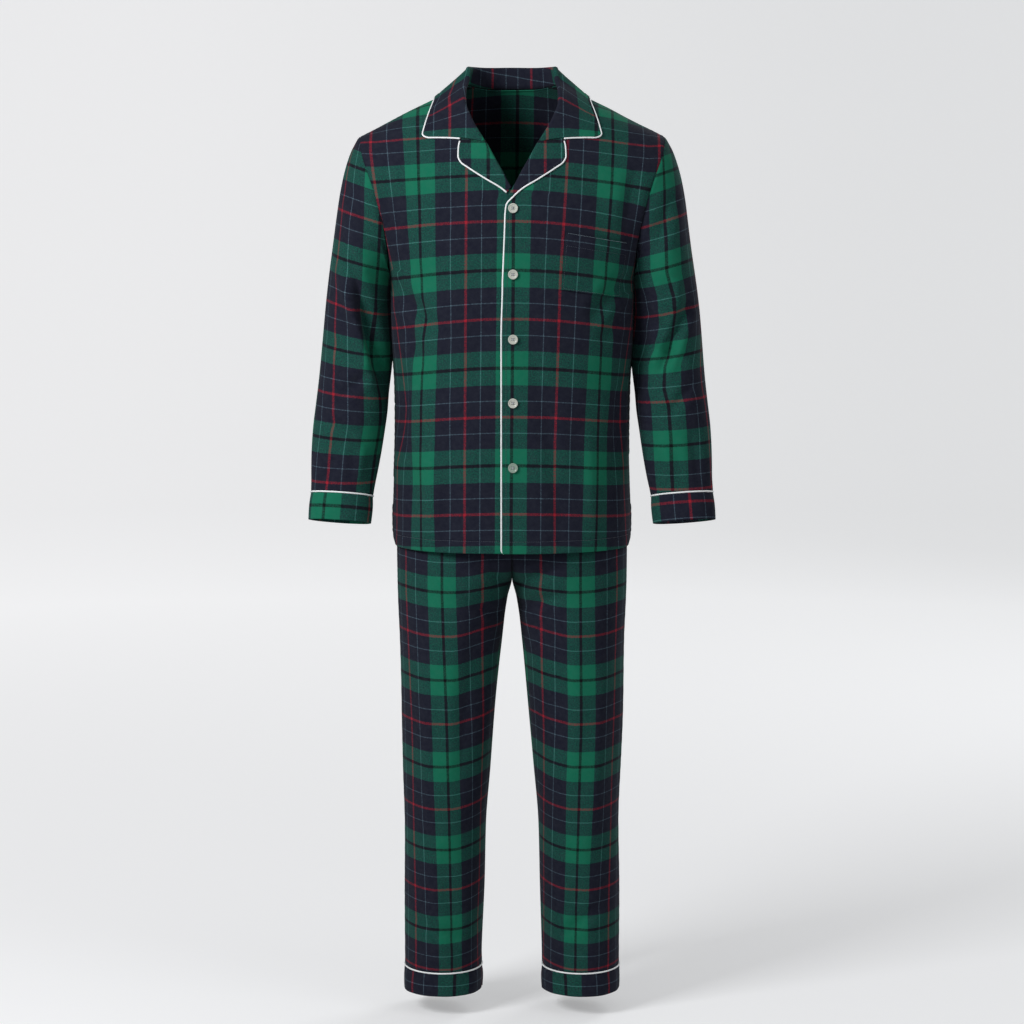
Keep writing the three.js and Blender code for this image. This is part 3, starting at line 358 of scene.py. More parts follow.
def jacketAcross(points):  # where each place of a jacket panel lies across the check
    along = arcs(points, 1, flat=True)
    across = np.zeros_like(along)
    numbers = sorted(jacketLines)
    for row in range(points.shape[0]):
        x, s = points[row, :, 0], along[row]
        order = np.argsort(x)
        down = -points[row, :, 2].mean()
        lines = np.array([np.interp(down, *jacketLines[n]) for n in numbers])
        sAt = lambda v: np.interp(v, x[order], s[order])
        way = 1 if x[-1] > x[0] else -1
        inside = (lines > x.min() + 1) & (lines < x.max() - 1)
        knotS = sAt(lines[inside])
        knotU = np.array(numbers, float)[inside]
        if way < 0:
            knotS, knotU = knotS[::-1], knotU[::-1]
        u = np.interp(s, knotS, knotU)
        u = np.where(s < knotS[0], knotU[0] - way * (knotS[0] - s), u)
        across[row] = np.where(s > knotS[-1], knotU[-1] + way * (s - knotS[-1]), u)
    return across


def weftAt(x, z):
    weft = jacketWeft
    left, right = (np.interp(z, weft["z"], weft["droop"][side]) for side in (1, -1))
    droop = mix(right, left, ramp(-weft["middle"], weft["middle"], x))
    lower = droop * np.minimum(weft["mostDroop"], (np.abs(x) / weft["droopAt"]) ** 2)
    return repeat * np.interp(z + lower, weft["z"], weft["at"])


def jacketUpward(points):  # rows run from the hem up to the shoulder
    x, z = points[..., 0], points[..., 2]
    # near the shoulder the cloth lies too flat for heights to tell, so there its length counts
    steep = np.minimum(z, jacketWeft["steepBelow"])
    steps = np.linalg.norm(np.diff(points, axis=0), axis=-1) - np.abs(np.diff(steep, axis=0))
    steps = np.where(z[1:] > jacketWeft["lengthAbove"], steps, 0)
    return weftAt(x, steep) + np.concatenate([np.zeros_like(z[:1]), np.cumsum(steps, axis=0)])


def edgesOf(points):  # distances from the four edges of a panel
    across, upward = arcs(points, 1), arcs(points, 0)
    return {
        "start": across, "end": across[:, -1:] - across,
        "low": upward, "high": upward[-1:] - upward,
    }


def gridNormals(points, closed=False):
    rows = np.gradient(points, axis=0)
    if closed:
        columns = (np.roll(points, -1, 1) - np.roll(points, 1, 1)) / 2
    else:
        columns = np.gradient(points, axis=1)
    return unit(np.cross(columns, rows))


def sewn(points, outward, seams, hems=()):
    # seams dip and pucker, hems are a little thicker up to their line of stitches
    normal = gridNormals(points)
    normal = normal * np.sign((normal * outward).sum(-1, keepdims=True))
    edges = edgesOf(points)
    high = np.zeros(points.shape[:2])
    for name in seams:
        away, along = edges[name], edges["low" if name in ("start", "end") else "start"]
        high -= cloth["seamDip"] * np.exp(-(away / cloth["seamWidth"]) ** 2)
        wave = np.sin(along * 2 * math.pi / cloth["puckerPitch"] + 2 * np.sin(along / 37))
        high += cloth["pucker"] * np.exp(-away / cloth["puckerReach"]) * wave
    for name, width in hems:
        away = edges[name]
        high += cloth["hemRise"] * ramp(width + 1.5, width - 1.5, away)
        high -= cloth["stitchDip"] * np.exp(-((away - width) / cloth["stitchWidth"]) ** 2)
    return lifted(points, normal, high)


def spread(count, length, fine=(0.8, 2, 3.5, 5.5, 8, 11, 15, 20)):
    # shares from 0 to 1, even in the middle and closer together by both ends
    near = np.array([0, *fine]) / length
    return np.concatenate([near, np.linspace(near[-1] * 1.35, 1 - near[-1] * 1.35, count), 1 - near[::-1]])


def meshOf(name, corners, faces, uvs=None):
    mesh = bpy.data.meshes.new(name)
    mesh.from_pydata((np.asarray(corners, float) * 0.001).tolist(), [], [list(map(int, f)) for f in faces])
    if uvs is not None:
        layer = mesh.uv_layers.new(name="cloth")
        layer.data.foreach_set("uv", (np.asarray(uvs, float) * 0.001).ravel())
    mesh.polygons.foreach_set("use_smooth", [True] * len(mesh.polygons))
    mesh.update()
    piece = bpy.data.objects.new(name, mesh)
    bpy.context.scene.collection.objects.link(piece)
    return piece


def applyModifier(piece, kind, **settings):
    modifier = piece.modifiers.new(kind.lower(), kind)
    for name, value in settings.items():
        setattr(modifier, name, value)
    bpy.context.view_layer.objects.active = piece
    bpy.ops.object.modifier_apply(modifier=modifier.name)


def assign(piece, material, node=None):
    piece.data.materials.clear()
    piece.data.materials.append(material)
    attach(piece, "root")
    if node:
        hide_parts(node)


def clothPiece(node, points, across, upward, outward, closed=False,
               thickness=cloth["thickness"]):
    # a wall of cloth over a grid of points, with its place in the check as its UV map;
    # the map of a closed piece has one column more than its points
    rows, columns = points.shape[:2]
    i, j = np.meshgrid(np.arange(rows - 1), np.arange(columns if closed else columns - 1), indexing="ij")
    a, b = i * columns + j, i * columns + (j + 1) % columns
    faces = np.stack([a, b, b + columns, a + columns], -1).reshape(-1, 4)
    grid = np.stack([across, upward], -1)
    uvs = np.stack([grid[i, j], grid[i, j + 1], grid[i + 1, j + 1], grid[i + 1, j]], 2).reshape(-1, 4, 2)
    if (gridNormals(points, closed) * outward).sum() < 0:
        faces, uvs = faces[:, ::-1], uvs[:, ::-1]
    piece = meshOf(node, points.reshape(-1, 3), faces, uvs.reshape(-1, 2))
    applyModifier(piece, "SOLIDIFY", thickness=thickness * 0.001, offset=-1, use_even_offset=False)
    assign(piece, tartan, node)


def runLength(path):
    return np.r_[0, np.cumsum(np.linalg.norm(np.diff(path, axis=0), axis=1))]


def circle(count):
    return np.linspace(-math.pi, math.pi, count, endpoint=False)


def closedRing(grid):  # the first column again after the last one
    return np.concatenate([grid, grid[:, :1]], 1)


def roundCord(name, path, radius, sides=10, closed=False):
    if closed:
        way = unit(np.roll(path, -1, 0) - np.roll(path, 1, 0))
    else:
        way = unit(np.gradient(path, axis=0))
    side = unit(np.cross(np.array([0.31, 0.22, 1.0]), way[0]))
    rings = []
    for point, tangent in zip(path, way):
        side = unit(side - tangent * side.dot(tangent))
        other = np.cross(tangent, side)
        turns = np.linspace(0, 2 * math.pi, sides, endpoint=False)[:, None]
        rings.append(point + radius * (np.cos(turns) * side + np.sin(turns) * other))
    count = len(path)
    faces, uvs = [], []
    along = runLength(np.vstack([path, path[:1]]))
    for i in range(count if closed else count - 1):
        for k in range(sides):
            m, n = (i + 1) % count, (k + 1) % sides
            faces.append([i * sides + k, i * sides + n, m * sides + n, m * sides + k])
            around = 2 * math.pi * radius / sides
            uvs += [(k * around, along[i]), ((k + 1) * around, along[i]),
                    ((k + 1) * around, along[i + 1]), (k * around, along[i + 1])]
    if not closed:
        for ring in (0, count - 1):
            loop = [ring * sides + k for k in range(sides)]
            faces.append(loop[::-1] if ring == 0 else loop)
            uvs += [(0, 0)] * sides
    return meshOf(name, np.concatenate(rings), faces, uvs)


def resample(path, step):
    along = runLength(path)
    places = np.linspace(0, along[-1], max(3, int(along[-1] / step)))
    return np.stack([smoothCurve(along, path[:, k])(places) for k in range(3)], -1)


# Materials. Colours are sRGB hex values, turned to linear by one function.
def linear(code):
    parts = [int(code[k:k + 2], 16) / 255 for k in (1, 3, 5)]
    return [p / 12.92 if p <= 0.04045 else ((p + 0.055) / 1.055) ** 2.4 for p in parts] + [1.0]


def setInputs(tree, node, values):
    for name, value in values.items():
        if isinstance(value, bpy.types.NodeSocket):
            tree.links.new(value, node.inputs[name])
        else:
            node.inputs[name].default_value = value


def addNode(tree, kind, values=None, output=0, **settings):  # gives back the output that is used
    node = tree.nodes.new("ShaderNode" + kind)
    for name, value in settings.items():
        setattr(node, name, value)
    setInputs(tree, node, values or {})
    return node.outputs[output]


def slantedLines(tree, x, y, pitch):
    slant = addNode(tree, "Math", {0: x, 1: y}, operation="ADD")
    turns = addNode(tree, "Math", {0: slant, 1: 2000 * math.pi / pitch}, operation="MULTIPLY")
    return addNode(tree, "Math", {0: turns}, operation="SINE")


yarns = {
    "navy": "#181a28", "green": "#11684f", "black": "#070b0e", "red": "#9a1b2b", "light": "#67858f",
}
# one repeat of the check from the middle of a red line: millimetres and the yarn from there on
checkStripes = [
    (0, "red"), (2.2, "navy"), (25.4, "light"), (26.6, "navy"), (51.5, "green"), (76.3, "black"),
    (81.7, "green"), (106.5, "navy"), (131.4, "light"), (132.6, "navy"), (155.8, "red"),
]
flannelLook = {
    "roughness": 0.95, "specular": 0.12, "sheen": 0.07, "sheenRoughness": 0.4, "sheenTint": "#c9d2da",
    "twillPitch": 2.2, "twillShare": 0.16, "twillHeight": 0.35, "softEdge": 0.35, "mixPower": 2.2,
    "speckle": 1.3, "speckleScale": 430.0, "wander": 0.0016, "wanderScale": 420.0,
    "haze": "#8b949c", "mostHaze": 0.035, "napHeight": 0.3, "napSize": 0.9,
}


def newMaterial(name):
    material = bpy.data.materials.new(name)
    material.use_nodes = True
    tree = material.node_tree
    return material, tree, tree.nodes["Principled BSDF"]


def yarnsAlong(tree, place):
    # the yarns in order across one repeat, with edges softened by the brushing
    share = addNode(tree, "Math", {0: place, 1: repeat * 0.001}, operation="DIVIDE")
    share = addNode(tree, "Math", {0: share}, operation="FRACT")
    colour = addNode(tree, "ValToRGB", {"Fac": share}, "Color")
    soft = flannelLook["softEdge"]
    stops = [checkStripes[0]]
    for (_, before), (start, yarn) in zip(checkStripes, checkStripes[1:]):
        stops += [(start - soft, before), (start + soft, yarn)]
    stripes = colour.node.color_ramp.elements
    while len(stripes) < len(stops):
        stripes.new(0.5)
    for stripe, (start, yarn) in zip(stripes, stops):
        stripe.position = start / repeat
        stripe.color = [part ** (1 / flannelLook["mixPower"]) for part in linear(yarns[yarn])]
    return colour


# Brushed cotton flannel, yarn-dyed and woven in a 2/2 twill: matt, with a soft fibre haze over it
def flannel(name):
    look = flannelLook
    material, tree, surface = newMaterial(name)
    place = addNode(tree, "UVMap", uv_map="cloth")
    wander = addNode(tree, "TexNoise", {"Vector": place, "Scale": look["wanderScale"], "Detail": 2.0},
                     "Color")
    centred = addNode(tree, "VectorMath", {0: wander, 1: (0.5, 0.5, 0.5)}, operation="SUBTRACT")
    small = addNode(tree, "VectorMath", {0: centred, "Scale": look["wander"]}, operation="SCALE")
    moved = addNode(tree, "VectorMath", {0: place, 1: small}, operation="ADD")
    x, y = addNode(tree, "SeparateXYZ", {0: moved}, slice(2))
    # the twill line, drawn about twice as coarse as the real one so that it shows
    twill = slantedLines(tree, x, y, look["twillPitch"])
    speckles = addNode(tree, "TexNoise", {"Vector": place, "Scale": look["speckleScale"], "Detail": 4.0},
                       "Fac")
    uneven = addNode(tree, "Math", {0: speckles, 1: look["speckle"], 2: 0.5 - look["speckle"] / 2},
                     operation="MULTIPLY_ADD")
    share = addNode(tree, "Math", {0: twill, 1: look["twillShare"], 2: uneven},
                    operation="MULTIPLY_ADD", use_clamp=True)
    # yarns shade each other, so they are mixed as roots of their colours and raised again
    mixed = addNode(tree, "Mix", {"Factor": share, "A": yarnsAlong(tree, x), "B": yarnsAlong(tree, y)},
                    "Result", data_type="RGBA")
    woven = addNode(tree, "Gamma", {"Color": mixed, "Gamma": look["mixPower"]})
    # brushing lays a pale fibre haze unevenly over the colours
    haze = addNode(tree, "TexNoise", {"Vector": place, "Scale": 90.0, "Detail": 6.0, "Roughness": 0.75},
                   "Fac")
    thin = addNode(tree, "MapRange", {"Value": haze, "From Min": 0.35, "From Max": 0.75,
                                      "To Min": 0.0, "To Max": look["mostHaze"]})
    hazed = addNode(tree, "Mix", {"Factor": thin, "A": woven, "B": linear(look["haze"])},
                    "Result", data_type="RGBA")
    fibres = addNode(tree, "TexNoise", {"Vector": place, "Scale": 1000 / look["napSize"], "Detail": 3.0,
                                        "Roughness": 0.7}, "Fac")
    height = addNode(tree, "Math", {0: twill, 1: look["twillHeight"], 2: fibres}, operation="MULTIPLY_ADD")
    bump = addNode(tree, "Bump", {"Height": height, "Strength": 0.5, "Distance": look["napHeight"] * 0.001})
    setInputs(tree, surface, {
        "Base Color": hazed, "Normal": bump, "Roughness": look["roughness"],
        "Specular IOR Level": look["specular"], "Sheen Weight": look["sheen"],
        "Sheen Roughness": look["sheenRoughness"], "Sheen Tint": linear(look["sheenTint"]),
    })
    return material


# Cotton sateen piping, bias-cut over a cord: smoother and whiter than the flannel, with fine slanted ribs
def sateen(name):
    material, tree, surface = newMaterial(name)
    place = addNode(tree, "UVMap", uv_map="cloth")
    x, y = addNode(tree, "SeparateXYZ", {0: place}, slice(2))
    ribs = slantedLines(tree, x, y, 0.8)
    bump = addNode(tree, "Bump", {"Height": ribs, "Strength": 0.25, "Distance": 0.0001})
    grime = addNode(tree, "TexNoise", {"Vector": place, "Scale": 60.0, "Detail": 3.0}, "Fac")
    tone = addNode(tree, "Mix", {"Factor": grime, "A": linear("#e9edf0"), "B": linear("#f7f9fa")},
                   "Result", data_type="RGBA")
    setInputs(tree, surface, {"Base Color": tone, "Normal": bump, "Roughness": 0.62, "Sheen Weight": 0.15})
    return material


# Pearly polyester buttons, cast and tumbled: a cloudy shell look under a soft gloss
def pearl(name, pale, dark):
    material, tree, surface = newMaterial(name)
    place = addNode(tree, "TexCoord", output="Object")
    cloud = addNode(tree, "TexNoise", {"Vector": place, "Scale": 180.0, "Detail": 4.0, "Distortion": 2.2},
                    "Fac")
    tone = addNode(tree, "Mix", {"Factor": cloud, "A": linear(dark), "B": linear(pale)},
                   "Result", data_type="RGBA")
    shine = addNode(tree, "MapRange", {"Value": cloud, "To Min": 0.22, "To Max": 0.36})
    setInputs(tree, surface, {"Base Color": tone, "Roughness": shine, "IOR": 1.53, "Coat Weight": 0.4,
                              "Coat Roughness": 0.15})
    return material


# Spun polyester sewing thread: two plies that catch a little light
def thread(name, code):
    material, tree, surface = newMaterial(name)
    place = addNode(tree, "TexCoord", output="Object")
    plies = addNode(tree, "TexNoise", {"Vector": place, "Scale": 1800.0, "Detail": 2.0}, "Fac")
    tone = addNode(tree, "Mix", {"Factor": plies, "A": linear(code), "B": linear("#5c6676")},
                   "Result", data_type="RGBA")
    setInputs(tree, surface, {"Base Color": tone, "Roughness": 0.55, "Sheen Weight": 0.2})
    return material


tartan = flannel("brushed_cotton_flannel")
pipingCotton = sateen("white_cotton_sateen")
navyThread = thread("navy_sewing_thread", "#232b38")
# a paler thread for the pocket's mouth: real stitches, painted lighter as a highlight along the pocket's top
# edge
pocketHighlightThread = thread("grey_sewing_thread_painted_highlight", "#6f8890")
whiteThread = thread("white_sewing_thread", "#d8dbdd")
print("materials made")

# Jacket body: fronts and back
hemWidth = 20
bodyLength = jacket["hemDown"] - jacket["chestDown"]
bodyPanel = {"frontColumns": 66, "backColumns": 60, "rows": 84, "edgeStitch": 6}


def bodyRows():
    nearHem = np.array([0, 1.5, 3, 5, 8, 11, 14, 17, 19, 20, 21, 23, 26]) / bodyLength - 1
    nearShoulder = 1 - np.array([0.9, 2.2, 4, 7, 11]) / 300
    count = bodyPanel["rows"]
    return np.unique(np.r_[nearHem, np.linspace(-1, 0, count)[1:-1], np.linspace(0, 1, count), nearShoulder])


def makeFront(side, name):
    share, turn = np.meshgrid(spread(bodyPanel["frontColumns"], 230), bodyRows())
    angle = mix(angleOf(frontEdgeX(turn), turn), quarter, share)
    plain, normal = bodyPoint(angle, turn), bodyNormal(angle, turn)
    sunk = sunkAt(side, plain[..., 0], turn)
    # the folds of the two fronts differ, so the right one is mirrored before its own are added
    plain, normal = plain * [side, 1, 1], normal * [side, 1, 1]
    points = lifted(plain, normal, foldsAt(jacketFolds, plain, normal) + waves(plain, cloth["jacketWaves"]))
    points[..., 1] += sunk
    outward = np.array([0, -1, 0.2])
    points = sewn(points, outward, ("end", "high"), (("low", hemWidth), ("start", bodyPanel["edgeStitch"])))
    clothPiece(name, points, jacketAcross(plain), jacketUpward(plain), outward)


def makeBack():
    angle, level = np.meshgrid(mix(-quarter, quarter, spread(bodyPanel["backColumns"], 460)), bodyRows())
    x = np.abs(np.sin(angle)) ** (2 / power) * jacket["shoulderX"]
    top = 1 + jacket["backNeckDrop"] * np.sqrt(np.maximum(0, 1 - (x / jacket["neckX"]) ** 2))
    turn = np.where(level <= 0, 2 - level, mix(2, top, np.maximum(level, 0)))
    plain = bodyPoint(angle, turn)
    along = arcs(plain, 1, flat=True)
    across = halfRepeat + along - along[:, along.shape[1] // 2][:, None]
    outward = np.array([0, 1, 0.2])
    points = sewn(jacketPoint(angle, turn), outward, ("start", "end", "high"), (("low", hemWidth),))
    clothPiece("back", points, across, jacketUpward(plain), outward)


makeFront(1, "front_left")
makeFront(-1, "front_right")
makeBack()
print("jacket body made")

# Sleeves
sleeveRings = {
    "step": list(range(14)),
    "outX": [249, 262, 272, 280, 287, 293.5, 300, 305.5, 310.5, 315.5, 320.5, 325, 327.5, 328.5],
    "outDown": [73, 97, 128, 165, 208, 252, 298, 346, 400, 454, 503, 550, 600, 648],
    "inX": [200, 202.6, 204, 205, 205.2, 205, 204.5, 203.5, 201.8, 200.5, 202.5, 209, 217.5, 227],
    "inDown": [300, 304, 309, 315, 323, 334, 350, 377, 418, 464, 510, 557, 607, 655],
    "y": [0, 0, 0, 0, 1, 2, 3, 3, 0, -8, -18, -28, -38, -47],
    "depth": [72, 74, 76, 77, 78, 78, 76, 73, 69, 65, 61, 55, 47, 39],
    "round": [0, 0.12, 0.35, 0.62, 0.85, 1, 1, 1, 1, 1, 1, 1, 1, 1],
    "pitch": [0, 0, 0, 0, 0, 0, 1, 3, 6, 8, 10, 11, 11, 11],
}
sleeveAt = tableOf(sleeveRings, "step")
cuffBand = {"height": 46, "leanX": 4, "leanY": -9, "pipingSeat": 3.3}
sleeveShape = {
    "swell": 7.5, "swellFrom": (0.4, 2.0), "swellTo": (9.7, 7.6),
    "foldsFrom": (0, 0.8), "foldsTo": (13, 12.4),
    "pucker": 0.338, "puckerPitch": 9.5, "puckerReach": 8, "seamWidth": 3,
    "clothWide": 47.0, "clothDeep": 78, "clothEase": 3, "redAt": 285,
}
sleeveCheck = {
    # a line of the check down the front of the sleeve, and the heights of the red lines at 285 mm
    # from the middle, which fall by a share of the distance towards the body
    1: {"number": -79, "z": [-643, -558, -506, -478, -442, -397, -358, -330, -288, -200],
        "x": [260.8, 258.7, 254.7, 248.5, 248, 261, 264, 261, 250, 248],
        "redZ": [-786, -641, -496.3, -349.6, -195.3, -40], "fall": [0.03, 0.03, 0.08, 0.22, 0.31, 0.31]},
    -1: {"number": -51.5, "z": [-640, -583, -531, -437, -289, -200],
         "x": [254, 250.6, 245, 243.5, 242, 239],
         "redZ": [-776, -631, -487.8, -342.2, -187.8, -33], "fall": [0.02, 0.02, 0.12, 0.26, 0.316, 0.316]},
}
cuffCheck = {1: {"across": 61, "upward": 17}, -1: {"across": 124, "upward": 103}}


def sleeveBase(theta, step):
    ring = {name: curve(step) for name, curve in sleeveAt.items()}
    seam = bodyPoint(np.full(np.shape(theta), quarter), 1 + theta / math.pi)
    share = ((1 + np.cos(theta)) / 2)[..., None]
    high = np.array([jacket["shoulderX"], 0, -jacket["shoulderDown"]], float)
    low = np.array([armholeSeam["out"][0], 0, -jacket["chestDown"]], float)
    bulge = (seam - mix(low, high, share)) * (1 - ring["round"])[..., None]
    outermost = vectors(ring["outX"], ring["y"], -ring["outDown"])
    innermost = vectors(ring["inX"], ring["y"], -ring["inDown"])
    point = mix(innermost, outermost, share) + bulge
    reach = ring["depth"] * np.sin(theta) * ring["round"]
    point[..., 1] += reach
    point[..., 2] -= reach * np.tan(np.radians(ring["pitch"]))
    point[..., 0] += 0.3 * (1 - ring["round"])
    return point


def tubeNormals(points):
    normal = gridNormals(points, closed=True)
    return normal * np.sign((normal * (points - points.mean(1, keepdims=True))).sum())


def ovalArc(angle, wide, deep, parts=24):  # length round an oval from its outermost point
    turned = angle[None] * np.linspace(0, 1, parts + 1)[:, None, None]
    speed = np.hypot(wide * np.sin(turned), deep * np.cos(turned))
    return angle * (speed[1:] + speed[:-1]).sum(0) / (2 * parts)


def sleeveCloth(side, points):  # where each place of a sleeve lies in the check
    check, s = sleeveCheck[side], sleeveShape
    x, y, z = np.abs(points[..., 0]), points[..., 1], points[..., 2]
    steps = np.linspace(0, 13, 60)
    read = lambda name: np.interp(-z, sleeveAt["outDown"](steps), sleeveAt[name](steps))
    wide, deep = s["clothWide"], np.minimum(s["clothDeep"], read("depth") + s["clothEase"])
    middle = read("outX") - wide
    turned = np.arctan2((y - read("y")) / deep, (x - middle) / wide)
    turned[:, 0] = -np.abs(turned[:, 0])
    turned = np.unwrap(turned, axis=1)
    turned[:, -1] = turned[:, 0] + 2 * math.pi
    line = -np.arccos(np.clip((np.interp(z, check["z"], check["x"]) - middle) / wide, -0.999, 0.999))
    across = check["number"] + ovalArc(turned, wide, deep) - ovalArc(line, wide, deep)
    fall = np.interp(z, check["redZ"], check["fall"]) * (s["redAt"] - x)
    return across, repeat * np.interp(z + fall, check["redZ"], np.arange(len(check["redZ"])) - 4)


def makeSleeve(side, name):
    s = sleeveShape
    steps = np.unique(np.r_[np.linspace(0, 13, 150), 0.02, 0.05, 0.09, 0.14, 0.2, 12.97, 12.93, 12.88])
    theta, step = np.meshgrid(circle(128), steps)
    plain = sleeveBase(theta, step) * [side, 1, 1]
    normal = tubeNormals(plain)
    high = foldsAt(sleeveFolds[side], plain, normal) + waves(plain, cloth["sleeveWaves"])
    # under the arm the sleeve swells against the jacket's side
    swell = ramp(*s["swellFrom"], step) * ramp(*s["swellTo"], step)
    high += s["swell"] * np.maximum(0, -np.cos(theta)) ** 3 * swell
    high *= ramp(*s["foldsFrom"], step) * ramp(*s["foldsTo"], step)
    around, lengths = arcs(closedRing(plain), 1)[:, :-1], arcs(plain, 0)
    near = np.minimum(lengths, lengths[-1:] - lengths)
    high -= cloth["seamDip"] * np.exp(-(lengths / s["seamWidth"]) ** 2)
    high += s["pucker"] * np.exp(-near / s["puckerReach"]) * np.sin(around * 2 * math.pi / s["puckerPitch"])
    across, upward = sleeveCloth(side, closedRing(plain))
    clothPiece(name, lifted(plain, normal, high), across, upward, normal, closed=True)


def cuffPoint(theta, down):
    point = sleeveBase(theta, np.full(np.shape(theta), 13.0))
    share = down / cuffBand["height"]
    point[..., 0] += cuffBand["leanX"] * share
    point[..., 1] += cuffBand["leanY"] * share
    point[..., 2] -= down
    return point


def makeBand(name, plain, down, ripple, settle, across, upward):
    # a turned-up band, a little full between its edges and rippled towards the open one
    normal = tubeNormals(plain)
    around = arcs(closedRing(plain), 1, flat=True)
    share = (down - down.min()) / (down.max() - down.min())
    high = 0.8 * np.sin(np.pi * share) + ripple(around[:, :-1]) * ramp(*settle, down)
    clothPiece(name, lifted(plain, normal, high), across(around),
               np.broadcast_to(upward - closedRing(down), around.shape), normal,
               closed=True, thickness=1.6)


def makeCuff(side, name):
    theta, down = np.meshgrid(circle(112), np.linspace(cuffBand["pipingSeat"], cuffBand["height"], 22))
    check = cuffCheck[side]
    makeBand(name, cuffPoint(theta, down) * [side, 1, 1], down,
             lambda run: 0.7 * np.sin(run / 17 + 1.1) + 0.35 * np.sin(run / 6.5), (3, 20),
             lambda run: check["across"] + run - run[:, 56:57], check["upward"])


piping = {"radius": 1.36, "step": 2.2, "gap": 0.15, "above": 0.3}


def makePiping(node, path, closed=False):
    path = path if closed else resample(path, piping["step"])
    cord = roundCord(node, path, piping["radius"], closed=closed)
    assign(cord, pipingCotton, node)


for side, word in ((1, "left"), (-1, "right")):
    makeSleeve(side, f"sleeve_{word}")
    makeCuff(side, f"cuff_{word}")
    ring = cuffPoint(circle(150), np.full(150, cuffBand["pipingSeat"] / 2)) * [side, 1, 1]
    makePiping(f"cuff_piping_{word}", ring, closed=True)
print("sleeves made")

# Collar and lapels: a fall that lies on the body, a rolled crest and a stand inside the neck
collarHalf = {
    "around": [0, 0.1, 0.2, 0.3, 0.37, 0.43, 0.5, 0.6, 0.75, 1],
    "height": [36, 35.5, 34, 31, 29, 26, 13, 5, 4.4, 4.4],
    "lean": [5, 4, 2, -2.5, -6, -8, -4, 0, 0, 0],
    "edgeX": [0, 34, 68, 97, 113, 122, 126, 130.5, 136, 143.5],
    "edgeTurn": [1.365, 1.355, 1.3, 1.215, 1.12, 1, 0.862, 0.785, 0.705, 0.6],
}
collarShape = {
    "split": 0.43, "gorgeTurn": 0.476, "notchX": 80.5, "fold": 4.3, "tipFold": 2.0, "clear": 1.1,
    "turnIn": 6, "corner": 14, "endLength": 98, "halfLength": 250, "shoulderLift": 1.0,
}
lapelEdge = {
    "rise": [0.4, 0.43, 0.475, 0.53, 0.575, 0.6, 0.615, 0.645],
    "x": [0.5, 5.5, 16.5, 41, 68, 81, 84.6, 84],
    "down": [165, 160, 151, 136.5, 119.5, 110, 102, 88],
}
lapelTip = {1: 0.402, -1: 0.438}
collarCheck = {"redFromCrest": {1: -17, -1: 36}, "redX": {1: 56.5, -1: 100}, "atEnd": 71}
lapelCheck = {1: {"x": 53.2, "number": 0}, -1: {"x": -38, "number": 79}, "greenDown": 77.9}
collarAt = tableOf(collarHalf, "around")


def neckEdge(around):
    around = np.clip(around, 0, 1)
    split, gorge = collarShape["split"], collarShape["gorgeTurn"]
    swing = np.minimum(around / split, 1) * quarter
    turn = mix(1, gorge, (around - split) / (1 - split))
    back = around <= split
    x = np.where(back, jacket["neckX"] * np.sin(swing), rollX(riseOf(turn)))
    return x, np.where(back, 1 + jacket["backNeckDrop"] * np.cos(swing), turn)


def collarLie(turn):
    return cloth["lie"] + collarShape["shoulderLift"] * ramp(0.82, 0.98, turn)


def foldFrame(x, turn, tangent, around):
    normal = bodyNormal(angleOf(x, turn), turn)
    inward = unit(np.cross(tangent, normal))
    inward = np.where(inward[..., :1] > 0, -inward, inward)
    swing = np.clip(around / collarShape["split"], 0, 1) * quarter
    flat = ramp(collarShape["split"], 0.66, around)[..., None]
    up = unit(mix(np.array([0, 0, 1.0]), inward, flat))
    off = mix(vectors(np.sin(swing), np.cos(swing), 0), normal, flat)
    off = unit(off - up * (off * up).sum(-1, keepdims=True))
    return up, off, flat[..., 0]


def collarFall(around, share, outside, off, flat):
    s = collarShape
    a = s["corner"] - (1 - around) * s["halfLength"]
    b = s["corner"] - (1 - share) * s["endLength"]
    inCorner = (a > 0) & (b > 0)
    tight = np.where(inCorner, np.maximum(a, b) / np.maximum(np.hypot(a, b), 1e-6), 1)
    at = 1 - np.where(inCorner, s["corner"] - a * tight, (1 - around) * s["halfLength"]) / s["halfLength"]
    part = 1 - np.where(inCorner, s["corner"] - b * tight, (1 - share) * s["endLength"]) / s["endLength"]
    footX, footTurn = neckEdge(at)
    edgeX, edgeTurn = collarAt["edgeX"](at), collarAt["edgeTurn"](at)
    x, turn = mix(footX, edgeX, part), mix(footTurn, edgeTurn, part)
    laid = onJacket(x, turn, collarLie(turn) + (s["fold"] - cloth["lie"]) * (1 - part) ** 2)
    rim = onJacket(edgeX, edgeTurn, collarLie(edgeTurn))
    hung = mix(outside, rim, part[..., None]) + off * (3 * part * (1 - part))[..., None]
    return mix(hung, laid, flat[..., None])


def collarSection(around, shares, sections):
    # around: one number a row; shares on the fall; sections: angles over the crest; then the stand
    s = collarShape
    x, turn = neckEdge(around)
    seat = onJacket(x, turn)
    step = 0.004
    before, after = neckEdge(around - step), neckEdge(around + step)
    tangent = onJacket(*after) - onJacket(*before)
    up, off, flat = foldFrame(x, turn, tangent, around)
    lean = collarAt["lean"](around) * (1 - flat)
    crest = seat + up * collarAt["height"](around)[:, None] + off * lean[:, None]
    middle = crest - up * s["fold"]
    outside = middle + off * s["fold"]
    columns = [collarFall(around, np.full(around.shape, p), outside, off, flat) for p in shares]
    for turned in sections:
        columns.append(middle + s["fold"] * (off * math.cos(turned) + up * math.sin(turned)))
    inside = middle - off * s["fold"]
    drop = mix(0.7, -s["turnIn"], ramp(0.56, 0.7, around))
    reach = mix(-0.2, s["fold"], ramp(s["split"], 0.53, around))
    foot = seat + up * drop[:, None] - off * reach[:, None]
    for part in (0.25, 0.5, 0.75, 1):
        columns.append(mix(inside, foot, part))
    return np.stack(columns, 1)


